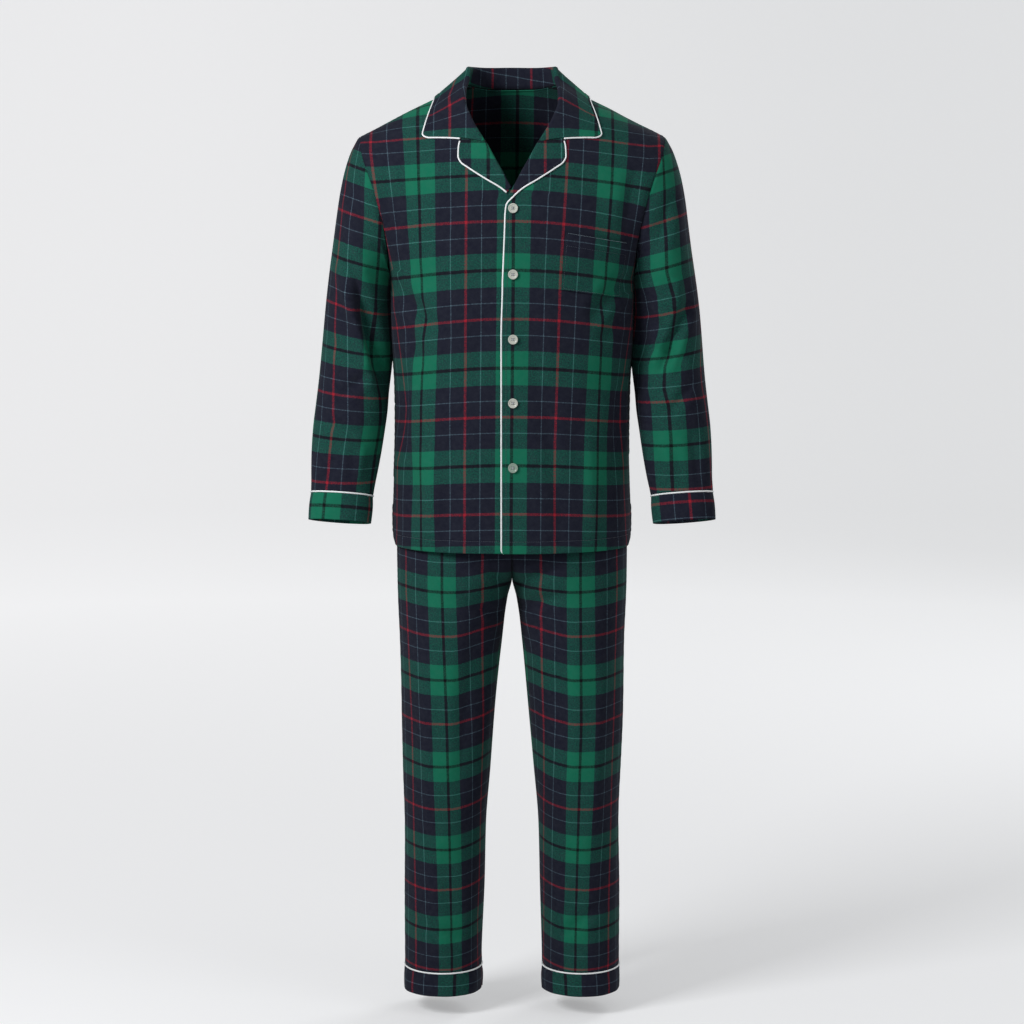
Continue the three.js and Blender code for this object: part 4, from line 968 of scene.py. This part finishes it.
def topstitched(rim):  # a doubled edge stands up a little as far as its line of stitches
    return 0.55 * ramp(7.5, 5, rim) - 0.5 * np.exp(-((rim - 7) / 1.4) ** 2)


def makeCollar():
    corner = 1 - np.array([1, 2.5, 4.5, 7, 10, 13]) / collarShape["halfLength"]
    half = np.unique(np.r_[np.linspace(0, 1, 84), corner])
    shares = np.r_[1, 0.992, 0.98, 0.965, 0.945, 0.92, 0.89, np.linspace(0.86, 0.04, 20)]
    right = collarSection(half, shares, np.linspace(0, math.pi, 11))
    points = np.concatenate([right[::-1] * [-1, 1, 1], right[1:]])
    own = np.concatenate([-half[::-1], half[1:]])
    crest = len(shares) + 5
    columns = np.arange(points.shape[1])
    inner = columns > crest
    run, upwards = arcs(points, 1), arcs(points, 0)
    across = np.abs(run - run[:, crest:crest + 1]) * np.where(inner, -1, 1)
    red, redX = collarCheck["redFromCrest"], collarCheck["redX"]
    byCrest = across - mix(red[-1], red[1], ramp(-0.8, 0.8, own))[:, None]
    # where it lies on the chest the grain runs straight down
    x = np.abs(points[..., 0])
    byX = np.where(inner, x[:, crest:crest + 1] + across, x) - np.where(own > 0, redX[1], redX[-1])[:, None]
    across = mix(byCrest, byX, ramp(0.5, 0.75, np.abs(own))[:, None])
    middle = upwards[:, crest - 12]
    toEnd = np.minimum(middle, middle[-1] - middle)
    upward = np.broadcast_to((collarCheck["atEnd"] - toEnd)[:, None], across.shape)
    rim = np.minimum.reduce([run, upwards, upwards[-1:] - upwards])
    normal = gridNormals(points)
    normal = normal * np.sign((normal[len(half) - 1, 6] * [0, 1.0, 0.3]).sum())
    high = topstitched(rim) * (columns < len(shares) - 6)
    points = lifted(points, normal, high)
    clothPiece("collar", points, across, upward, normal, thickness=1.5)


def lapelSection(side, rise, shares, sections):
    s = collarShape
    turn = np.arcsin(rise) / quarter
    x = rollX(rise)
    seat = onFront(side, x, turn)
    after, before = rise - 0.002, rise + 0.002
    tangent = (onFront(side, rollX(after), np.arcsin(after) / quarter)
               - onFront(side, rollX(before), np.arcsin(before) / quarter))
    up, off, _ = foldFrame(x, turn, tangent, np.ones(rise.shape))
    radius = mix(s["tipFold"], s["fold"], ramp(0.46, 0.53, rise))
    outerX = lapelAt["x"](rise)
    outerTurn = frontTurn(outerX, lapelAt["down"](rise))
    columns = []
    for part in shares:
        lift = cloth["lie"] + (radius - cloth["lie"]) * (1 - part) ** 2
        columns.append(onFront(side, mix(x, outerX, part), mix(turn, outerTurn, part), lift))
    crest = seat + up * (radius + s["clear"])[:, None]
    middle = crest - up * radius[:, None]
    for turned in sections:
        columns.append(middle + radius[:, None] * (off * math.cos(turned) + up * math.sin(turned)))
    inside = middle - off * radius[:, None]
    drop = mix(s["clear"] / 2, -s["turnIn"], ramp(0.55, 0.62, rise))
    foot = seat + up * drop[:, None] - off * radius[:, None]
    for part in (0.33, 0.66, 1):
        columns.append(mix(inside, foot, part))
    return np.stack(columns, 1)


gorgeRise = float(riseOf(collarShape["gorgeTurn"]))
neckEndX = float(neckEdge(1.0)[0])
gorgeShare = (collarShape["notchX"] - neckEndX) / (collarHalf["edgeX"][-1] - neckEndX)
notchTurn = np.array(mix(collarShape["gorgeTurn"], collarHalf["edgeTurn"][-1], gorgeShare))
notchDown = -float(bodyPoint(angleOf(collarShape["notchX"], notchTurn), notchTurn)[..., 2])
lapelAt = tableOf({
    "rise": [*lapelEdge["rise"], gorgeRise], "x": [*lapelEdge["x"], collarShape["notchX"]],
    "down": [*lapelEdge["down"], notchDown],
}, "rise")


def makeLapel(side, word):
    rises = np.unique(np.r_[np.linspace(lapelTip[side], gorgeRise - 0.002, 64), gorgeRise - 0.004])
    shares = np.r_[1, 0.985, 0.965, 0.94, 0.91, np.linspace(0.87, 0.04, 22)]
    points = lapelSection(side, rises, shares, np.linspace(0, math.pi, 9)) * [side, 1, 1]
    normal = gridNormals(points)
    normal = normal * np.sign((normal[30, 6] * [0, -1.0, 0.2]).sum())
    fall = np.arange(points.shape[1]) < len(shares) - 5
    points = lifted(points, normal, topstitched(arcs(points, 1)) * fall * ramp(0.45, 0.5, rises)[:, None])
    check, run = lapelCheck[side], arcs(points, 1)
    inner = np.maximum(run - run[:, len(shares):len(shares) + 1], 0)
    across = check["number"] + points[..., 0] - check["x"] - side * inner
    clothPiece(f"lapel_{word}", points, across, halfRepeat + points[..., 2] + lapelCheck["greenDown"], normal,
               thickness=1.5)


def besideEdge(edge, inner, normal):  # where the piping lies along a rim
    away = edge - inner
    away = unit(away - normal * (away * normal).sum(-1, keepdims=True))
    drop = cloth["lie"] - piping["radius"] - piping["above"]
    return edge + away * (piping["radius"] + piping["gap"]) - normal * drop


def fallPoint(at, share):
    rows = np.atleast_1d(np.asarray(at, float))
    section = [collarSection(rows[k:k + 1], [share[k]], [])[0, 0] for k in range(len(rows))]
    return np.array(section)


def makeCollarPiping():
    s = collarShape
    cornerAt, cornerShare = 1 - s["corner"] / s["halfLength"], 1 - s["corner"] / s["endLength"]
    # along the edge, round the corner and up the end: place, share of the fall,
    # and how far the way out points to the end and to the edge
    rim = [(a, 1, 0, 1) for a in np.linspace(1e-4, cornerAt, 60)]
    rim += [(mix(cornerAt, 1, t), 1, 0.4 * t + 0.1, 1 - 0.5 * t) for t in (0.2, 0.4, 0.6, 0.8, 1.0)]
    rim += [(1, mix(1, cornerShare, t), 0.6 + 0.4 * t, 0.5 - 0.5 * t) for t in (0.2, 0.4, 0.6, 0.8)]
    rim += [(1, b, 1, 0) for b in np.linspace(cornerShare, gorgeShare + 0.03, 14)]
    at, share, endward, edgeward = np.array(rim, float).T
    edge, inner = fallPoint(at, share), fallPoint(at - 0.012 * endward, share - 0.03 * edgeward)
    footX, footTurn = neckEdge(at)
    x, turn = mix(footX, collarAt["edgeX"](at), share), mix(footTurn, collarAt["edgeTurn"](at), share)
    path = besideEdge(edge, inner, bodyNormal(angleOf(x, turn), turn))
    makePiping("collar_piping", np.concatenate([path[1:][::-1] * [-1, 1, 1], path]))


def lapelRim(side):
    rises = np.linspace(gorgeRise - 0.012, lapelTip[side] + 0.002, 60)
    edge, inner = (lapelSection(side, rises, [share], [])[:, 0] for share in (1.0, 0.93))
    way = unit(np.gradient(edge, axis=0))
    away = edge - inner
    away = away - way * (away * way).sum(-1, keepdims=True)
    x = lapelAt["x"](rises)
    turn = frontTurn(x, lapelAt["down"](rises))
    return besideEdge(edge, edge - away, bodyNormal(angleOf(x, turn), turn))


def makeFrontPiping():
    turns = np.r_[0.235, 0.2, 0.17, np.linspace(0.14, -0.985, 80)]
    x = frontEdgeX(turns)
    aside = [-(piping["radius"] + piping["gap"]), 0, 0]
    side = onJacket(x, turns) + aside - bodyNormal(angleOf(x, turns), turns) * 0.8
    # at the hem it turns in round the corner
    corner = side[-1] + np.array([[0.4, 0.2, -2.6], [1.8, 0.8, -4.6], [4.2, 1.4, -6.4]])
    makePiping("front_piping", np.concatenate([lapelRim(1), side, corner]))


makeCollar()
makeLapel(1, "left")
makeLapel(-1, "right")
makeCollarPiping()
makeFrontPiping()
makePiping("lapel_piping_right", lapelRim(-1) * [-1, 1, 1])
print("collar and lapels made")

# Pocket: a patch on the left chest, in line with the check under it
pocket = {
    "top": {"inner": 86, "outer": 186, "innerDown": 222, "outerDown": 240},
    "bottom": {"inner": 79, "outer": 176, "innerDown": 314, "outerDown": 330},
    "width": 105, "height": 95, "hem": 22, "stitch": 2.5, "bulge": 1.6,
}


def pocketPlace(u, v, lift):
    top, low = pocket["top"], pocket["bottom"]
    x = mix(mix(low["inner"], top["inner"], v), mix(low["outer"], top["outer"], v), u)
    down = mix(mix(low["innerDown"], low["outerDown"], u), mix(top["innerDown"], top["outerDown"], u), v)
    turn = frontTurn(x, down)
    return x, turn, onJacket(x, turn, lift)


def makePocket():
    fine = (0.8, 2, 3.2, 4.5)
    u, v = np.meshgrid(spread(30, pocket["width"], fine), spread(30, pocket["height"], fine))
    x, turn, points = pocketPlace(u, v, cloth["lie"])
    edges = edgesOf(points)
    away = np.minimum.reduce([edges["start"], edges["end"], edges["low"]])
    high = -0.45 * np.exp(-((away - pocket["stitch"]) / 1.1) ** 2)
    high += 0.5 * ramp(pocket["hem"] + 1.5, pocket["hem"] - 1.5, edges["high"])
    high -= 0.4 * np.exp(-((edges["high"] - pocket["hem"]) / 1.3) ** 2)
    high += pocket["bulge"] * np.exp(-edges["high"] / 16) * np.sin(np.pi * u) * ramp(0, 10, away)
    points = lifted(points, bodyNormal(angleOf(x, turn), turn), high)
    # the same place in the check as the front behind it
    turns = np.linspace(-0.2, 0.35, 80)
    share, t = np.meshgrid(np.linspace(0, 1, 160), turns)
    front = bodyPoint(mix(angleOf(frontEdgeX(t), t), quarter, share), t)
    frontAcross = jacketAcross(front)
    row = np.clip(np.searchsorted(turns, turn), 0, len(turns) - 1)
    across = np.array([[np.interp(x[i, j], front[row[i, j], :, 0], frontAcross[row[i, j]])
                        for j in range(x.shape[1])] for i in range(x.shape[0])])
    upward = weftAt(x, bodyPoint(angleOf(x, turn), turn)[..., 2])
    outward = np.array([0, -1.0, 0])
    clothPiece("pocket", points, across, upward, outward, thickness=1.2)


makePocket()
print("pocket made")

# Trousers
trouser = {"crotchDown": 798, "crotchCurve": 95, "waistTop": 503, "bandHeight": 36, "seamDown": 1447,
           "hemBand": 38, "pipingSeat": 3.3}
trouserHalf = {
    "down": [503, 560, 640, 740, 798, 826, 902, 1003, 1113, 1206, 1308, 1436, 1490],
    "out": [166, 178, 186, 190.3, 189.5, 188.6, 185.5, 184.3, 180.8, 178.5, 179, 179.3, 180.5],
    "in": [0, 0, 0, 0, 0, 8, 16.6, 26.6, 35.8, 43.4, 46, 50, 50.5],
    "front": [108, 116, 122, 122, 115, 110, 106, 102, 98, 93, 86, 78, 76],
    "back": [112, 121, 127, 127, 121, 115, 109, 105, 101, 97, 90, 82, 80],
}
trouserAt = tableOf(trouserHalf, "down")


def trouserPoint(side, face, share, down):
    crotch, curve = trouser["crotchDown"], trouser["crotchCurve"]
    rise = np.clip((crotch - down) / curve, 0, 1)
    seamSplit = 1 - np.sqrt(np.maximum(0, 1 - (1 - rise) ** 2))
    parted = ramp(crotch - curve - 20, crotch + 70, down)
    out, inner = trouserAt["out"](down), trouserAt["in"](down) * parted
    middle = (out + inner) / 2
    swing = share * quarter
    hipX = inner + (out - inner) * np.maximum(0, np.cos(swing)) ** (2 / power)
    x = mix(hipX, middle + (out - middle) * np.cos(2 * swing), parted)
    hip = np.maximum(0, 1 - (x / out) ** power) ** (1 / power)
    leg = np.sqrt(np.maximum(0, 1 - ((x - middle) / (out - middle)) ** 2))
    split = mix(seamSplit, parted, ramp(0, 1, (x - inner) / (0.8 * middle)))
    depth = np.where(np.asarray(face) < 0, trouserAt["front"](down), trouserAt["back"](down))
    return vectors(side * x, face * depth * mix(hip, leg, split), -down)


def trouserUpward(points):  # the crossways lines rise towards both seams of a leg
    x = np.abs(points[..., 0])
    inner = mix(4, 9.5, ramp(790, 900, -points[..., 2]))
    rise = inner * np.clip((100 - x) / 50, 0, 1.2) ** 1.5 + 3.5 * np.clip((x - 125) / 45, 0, 1.1) ** 1.5
    return repeat * np.interp(points[..., 2] - rise, trouserWeft["z"], trouserWeft["at"])


def trouserAcross(side, points):  # the rows run from the outer seam to the inner one
    x, down = np.abs(points[..., 0]), -points[..., 2]
    steps = np.diff(points, axis=1)
    # over the seat the lines stay upright where the panel turns in to its middle seam
    turnIn = np.where(x[:, 1:] < 70, ramp(835, 930, down[:, 1:]), 1)
    length = np.hypot(steps[..., 0], turnIn * steps[..., 1])
    along = np.concatenate([np.zeros_like(length[:, :1]), np.cumsum(length, axis=1)], axis=1)
    away = np.array(trouserLines["away"])
    across = np.zeros_like(along)
    for row in range(points.shape[0]):
        lines = [np.interp(down[row, 0], trouserLines["down"], line) for line in trouserLines[side]]
        at = np.interp(lines, x[row, ::-1], along[row, ::-1])
        u = np.interp(along[row], at, away)
        u = np.where(along[row] < at[0], away[0] + (at[0] - along[row]), u)
        across[row] = halfRepeat + side * np.where(along[row] > at[-1], away[-1] - (along[row] - at[-1]), u)
    return across


def makeLeg(side, face, name):
    top, seam = trouser["waistTop"] + trouser["bandHeight"], trouser["seamDown"]
    downs = np.unique(np.r_[np.linspace(top, 700, 22), np.linspace(700, 812, 34), np.linspace(812, seam, 96),
                            seam - np.array([1, 2.5, 4.5])])
    share, down = np.meshgrid(spread(44, 210), downs[::-1])
    plain = trouserPoint(side, face, share, down)
    normal = gridNormals(plain)
    normal = normal * np.sign((normal * [0, face, 0]).sum())
    # the cloth lies flat under the jacket, and where the two sides meet in the middle
    shown = ramp(745, 800, down)
    high = foldsAt(trouserFolds, plain, normal) + waves(plain, cloth["trouserWaves"])
    high = high * mix(0.15, 1, shown) * ramp(seam, seam - 22, down) - 0.4 * (1 - shown)
    high = high * mix(ramp(0, 14, np.abs(plain[..., 0])), 1, ramp(800, 850, down))
    points = sewn(lifted(plain, normal, high), normal, ("start", "low"))
    clothPiece(name, points, trouserAcross(side, plain), trouserUpward(plain), normal)


hemBandCheck = {"blackX": {1: 89.5, -1: 96}, "top": 152}


def legRing(side, theta, down):
    wrapped = np.arctan2(np.sin(theta), np.cos(theta))
    return trouserPoint(side, np.where(wrapped < 0, -1, 1), np.abs(wrapped) / math.pi, down)


def makeHemBand(side, name):
    top = trouser["seamDown"] + trouser["pipingSeat"]
    theta, down = np.meshgrid(circle(128), np.linspace(top, top + trouser["hemBand"], 22)[::-1])
    plain = legRing(side, theta, down)
    x = np.abs(plain[0, :64, 0])
    makeBand(name, plain, down,
             lambda run: 0.9 * np.sin(run / 21 + side) + 0.4 * np.sin(run / 7), (top, top + 18),
             lambda run: halfRepeat + run - np.interp(hemBandCheck["blackX"][side], x, run[0, :64]),
             hemBandCheck["top"] + top)


def makeWaistband():
    top, height = trouser["waistTop"], trouser["bandHeight"]
    theta, down = np.meshgrid(circle(400), np.linspace(top, top + height, 16)[::-1])
    share = 1 - np.abs(np.abs(theta) - quarter) / quarter
    plain = trouserPoint(np.where(np.abs(theta) < quarter, 1, -1), np.where(theta < 0, -1, 1), share, down)
    normal = tubeNormals(plain)
    around = arcs(closedRing(plain), 1, flat=True)
    gathers = np.sin(around[:, :-1] * 2 * math.pi / 11 + 1.2 * np.sin(around[:, :-1] / 31))
    high = 0.8 * gathers * np.sin(np.pi * (down - top) / height) ** 0.5 - 0.5
    clothPiece("waistband", lifted(plain, normal, high), around,
               np.broadcast_to(-closedRing(down), around.shape), normal, closed=True)


for side, word in ((1, "left"), (-1, "right")):
    makeLeg(side, -1, f"leg_front_{word}")
    makeLeg(side, 1, f"leg_back_{word}")
    makeHemBand(side, f"hem_band_{word}")
    pipingDown = trouser["seamDown"] + trouser["pipingSeat"] / 2
    makePiping(f"hem_piping_{word}", legRing(side, circle(160), np.full(160, pipingDown)), closed=True)
makeWaistband()
print("trousers made")

# Buttons: turned rim, sunk middle, four holes and crossed thread
button = {
    "radius": 7.8, "thickness": 3.0, "rim": 1.7, "slope": 0.9, "dish": 0.7, "hole": 1.0, "spacing": 3.0,
    "edge": 0.45, "x": 1.5, "downs": [184, 289, 393, 495.5, 600], "stand": 0.5, "thread": 0.26,
}
buttonShell = pearl("pearly_polyester_button", "#d3d5cb", "#9a9f97")
# the fifth button gets a darker, greener copy of the shell: painted shade
buttonShellPaintedShade = pearl("pearly_polyester_button_shaded", "#9fb0a2", "#6f8377")


def turnTo(normal):
    z = unit(np.asarray(normal, float))
    x = unit(np.cross(np.array([0, 0, 1.0]), z))
    return np.stack([x, np.cross(z, x), z], 1)


def makeButton(index, down):
    metres = {name: button[name] * 0.001 for name in
              ("radius", "thickness", "rim", "slope", "dish", "hole", "spacing", "edge")}
    bpy.ops.object.select_all(action="DESELECT")
    bpy.ops.mesh.primitive_cylinder_add(vertices=40, radius=metres["radius"], depth=metres["thickness"],
                                        location=(0, 0, metres["thickness"] / 2))
    piece = bpy.context.object
    bpy.ops.object.transform_apply(location=True, rotation=True, scale=True)
    bpy.ops.object.mode_set(mode="EDIT")
    bpy.ops.mesh.select_mode(type="FACE")
    bpy.ops.mesh.select_all(action="DESELECT")
    bpy.ops.object.mode_set(mode="OBJECT")
    for face in piece.data.polygons:
        face.select = face.normal.z > 0.9
    bpy.ops.object.mode_set(mode="EDIT")
    bpy.ops.mesh.inset(thickness=metres["rim"])
    bpy.ops.mesh.inset(thickness=metres["slope"], depth=-metres["dish"])
    bpy.ops.object.mode_set(mode="OBJECT")
    half = metres["spacing"] / 2
    for a, b in ((half, half), (half, -half), (-half, half), (-half, -half)):
        bpy.ops.mesh.primitive_cylinder_add(vertices=14, radius=metres["hole"], depth=0.02,
                                            location=(a, b, 0))
        drill = bpy.context.object
        applyModifier(piece, "BOOLEAN", operation="DIFFERENCE", solver="EXACT", object=drill)
        bpy.data.objects.remove(drill)
    applyModifier(piece, "BEVEL", width=metres["edge"], segments=3, limit_method="ANGLE",
                  angle_limit=math.radians(35))
    turn = frontTurn(button["x"], np.array(float(down)))
    angle = angleOf(button["x"], turn)
    seat, frame = jacketPoint(angle, turn, button["stand"]), turnTo(bodyNormal(angle, turn)).T
    corners = np.array([v.co for v in piece.data.vertices]) @ frame + seat * 0.001
    piece.data.vertices.foreach_set("co", corners.ravel())
    piece.data.update()
    piece.name = f"button_{index}_shell"
    bpy.ops.object.select_all(action="DESELECT")
    piece.select_set(True)
    bpy.ops.object.shade_smooth_by_angle(angle=math.radians(40))
    # the fifth button takes the shell with painted shade
    assign(piece, buttonShellPaintedShade if index == 5 else buttonShell, f"button_{index}")
    # two threads each way, from hole to hole over the middle, and down into the cloth
    strands = []
    top = button["thickness"] - button["dish"]
    for start, over in (((1, 1), 0), ((1, -1), 0.45)):
        a = np.array(start) * button["spacing"] / 2
        for shift in (-0.32, 0.32):
            aside = np.array([a[1], -a[0]]) / 2.12 * shift
            heights = {0: top - 0.2, 0.12: top + 0.3, 0.5: top + 0.42 + 0.3 * abs(shift) + over,
                       0.88: top + 0.3, 1: top - 0.2}
            path = [(*(mix(a, -a, share) + aside), high) for share, high in heights.items()]
            path = [(*path[0][:2], -0.3), *path, (*path[-1][:2], -0.3)]
            strands.append(resample(np.array(path), 0.35) @ frame + seat)
    return strands


strands = []
for index, down in enumerate(button["downs"], 1):
    strands += makeButton(index, down)
cords = [roundCord(f"strand_{k}", strand, button["thread"], 6) for k, strand in enumerate(strands)]
bpy.ops.object.select_all(action="DESELECT")
for cord in cords:
    cord.select_set(True)
bpy.context.view_layer.objects.active = cords[0]
bpy.ops.object.join()
cords[0].name = "button_threads"
assign(cords[0], whiteThread)
print("buttons made")

# Lines of stitches: short raised threads along paths on the cloth, each of four rings of four corners
stitchRings = [(0, 0.05, 0.5), (0.3, 0.32, 1), (0.7, 0.32, 1), (1, 0.05, 0.5)]
stitchFaces = [[4 * ring + k, 4 * ring + (k + 1) % 4, 4 * ring + 4 + (k + 1) % 4, 4 * ring + 4 + k]
               for ring in range(3) for k in range(4)] + [[3, 2, 1, 0], [12, 13, 14, 15]]


def stitchMesh(name, rows, material, pitch=3.0, length=2.1, radius=0.24):
    corners, faces = [], []
    for path, normal in rows:
        along = runLength(path)
        at = lambda place, values: np.array([np.interp(place, along, values[:, k]) for k in range(3)])
        for start in np.arange(1, along[-1] - length, pitch):
            a, b, out = at(start, path), at(start + length, path), unit(at(start, normal))
            side = np.cross(unit(b - a), out)
            faces += [[len(corners) + corner for corner in face] for face in stitchFaces]
            for share, high, wide in stitchRings:
                for k in range(4):
                    turned = k * quarter
                    corners.append(mix(a, b, share) + out * (high * 0.6 + radius * wide * math.cos(turned))
                                   + side * radius * wide * math.sin(turned))
    assign(meshOf(name, corners, faces), material)


def bodyRow(side, x, turn):
    x, turn = np.broadcast_arrays(x, turn)
    return onJacket(x, turn, 0.1, sunkAt(side, np.abs(x), turn)), bodyNormal(angleOf(x, turn), turn)


def pocketRow(u, v, lift):
    x, turn, path = pocketPlace(u, v, lift)
    return path, bodyNormal(angleOf(x, turn), turn)


turns = np.linspace(0.22, -0.99, 240)
hemTurn = hemWidth / bodyLength
stitchMesh("jacket_stitches", [
    bodyRow(1, frontEdgeX(turns) + bodyPanel["edgeStitch"], turns),
    bodyRow(1, np.linspace(-10, 190, 150), hemTurn - 1),
    bodyRow(-1, np.linspace(-20, -190, 140), hemTurn - 1),
    bodyRow(1, np.linspace(-190, 190, 260), 3 - hemTurn),
], navyThread)
run = np.linspace(0.025, 0.975, 60)
bulge = np.sin(np.pi * run)
stitchMesh("pocket_stitches", [
    pocketRow(0.025, run[::-1], 2), pocketRow(run, 0.027, 2), pocketRow(0.975, run, 2),
    pocketRow(run, 1 - pocket["hem"] / pocket["height"], 2.1 + 0.4 * bulge),
], navyThread)
# the pocket's mouth is stitched in the paler thread, which also paints a highlight along its top edge
stitchMesh("pocket_mouth_stitches", [pocketRow(run, 0.984, 2.8 + 1.46 * bulge)], pocketHighlightThread, 2.6, 2.0, 0.34)
print("stitches made")

# Floor, light and camera, in metres
stage = {
    # left and right are the colours of the paper's painted glow, darker to the right as painted shade
    "below": 0.035, "segments": 96, "paper": "#c6c7c9", "left": "#efeff0", "right": "#dfe0e1",
    # radius and height of each ring of the bowl round the flat middle
    "rings": [(7.0, 0), (7.7, 0.12), (8.3, 0.45), (8.8, 1.0), (9.1, 1.9), (9.2, 3.4)],
}
lights = {
    "key": {"place": (-2.1, -2.1, 1.1), "size": 1.2, "energy": 90, "aim": (0, 0, -0.35)},
    "fill": {"place": (3.2, -2.6, 0.9), "size": 2.0, "energy": 27, "aim": (0, 0, -0.4)},
    "back": {"place": (2.4, 3.2, 1.6), "size": 1.8, "energy": 58, "aim": (0, 0, -0.4)},
}


def makeStage():
    # a round bowl, so that every side of the set is seen against the same soft paper
    floorZ = min(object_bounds()[0].z, cadLow.z) - stage["below"]
    count = stage["segments"]
    corners = [(0, 0, floorZ)]
    for radius, high in stage["rings"]:
        corners += [(radius * math.cos(t), radius * math.sin(t), floorZ + high)
                    for t in np.linspace(0, 2 * math.pi, count, endpoint=False)]
    faces = [(0, 1 + k, 1 + (k + 1) % count) for k in range(count)]
    for first in range(1, 1 + count * (len(stage["rings"]) - 1), count):
        faces += [(first + k, first + count + k, first + count + (k + 1) % count, first + (k + 1) % count)
                  for k in range(count)]
    floor = meshOf("studio_floor", np.array(corners) * 1000, faces)
    material, tree, surface = newMaterial("studio_paper")
    place = addNode(tree, "TexCoord", output="Object")
    x = addNode(tree, "SeparateXYZ", {0: place}, "X")
    # painted light and shade on the paper: it glows a little as if lit from behind, and the painted glow is
    # darker to the right
    sideways = addNode(tree, "MapRange", {"Value": x, "From Min": -1.8, "From Max": 1.8},
                       interpolation_type="SMOOTHSTEP")
    tone = addNode(tree, "Mix", {"Factor": sideways, "A": linear(stage["left"]), "B": linear(stage["right"])},
                   "Result", data_type="RGBA")
    # the painted glow grows away from the set, and only the camera sees it
    away = addNode(tree, "VectorMath", {0: place}, "Value", operation="LENGTH")
    glow = addNode(tree, "MapRange", {"Value": away, "From Min": 1.6, "From Max": 5.0,
                                      "To Min": 0.43, "To Max": 0.74})
    seen = addNode(tree, "LightPath", output="Is Camera Ray")
    strength = addNode(tree, "Math", {0: glow, 1: seen}, operation="MULTIPLY")
    setInputs(tree, surface, {"Base Color": linear(stage["paper"]), "Roughness": 0.95, "Emission Color": tone,
                              "Emission Strength": strength})
    floor.data.materials.append(material)


def addLight(name, place, size, energy, aim):
    light = bpy.data.lights.new(name, "AREA")
    light.shape = "RECTANGLE"
    light.size = light.size_y = size
    light.energy = energy
    lamp = bpy.data.objects.new(name, light)
    bpy.context.scene.collection.objects.link(lamp)
    lamp.location = place
    lamp.rotation_euler = (Vector(aim) - Vector(place)).to_track_quat("-Z", "Y").to_euler()


makeStage()
for name, light in lights.items():
    addLight(name, **light)
world = bpy.data.worlds.new("studio")
bpy.context.scene.world = world
world.use_nodes = True
setInputs(world.node_tree, world.node_tree.nodes["Background"], {"Color": (1, 1, 1, 1), "Strength": 0.3})
bpy.context.scene.view_settings.view_transform = "Standard"

camera = bpy.data.cameras.new("camera")
camera.sensor_width = 36
camera.lens = 128.85
camera.clip_end = 60
view = bpy.data.objects.new("camera", camera)
bpy.context.scene.collection.objects.link(view)
view.location = (0, -6.0, 0.048)
view.rotation_euler = (math.radians(90 - 7), 0, 0)
bpy.context.scene.camera = view
print("stage, lights and camera made")
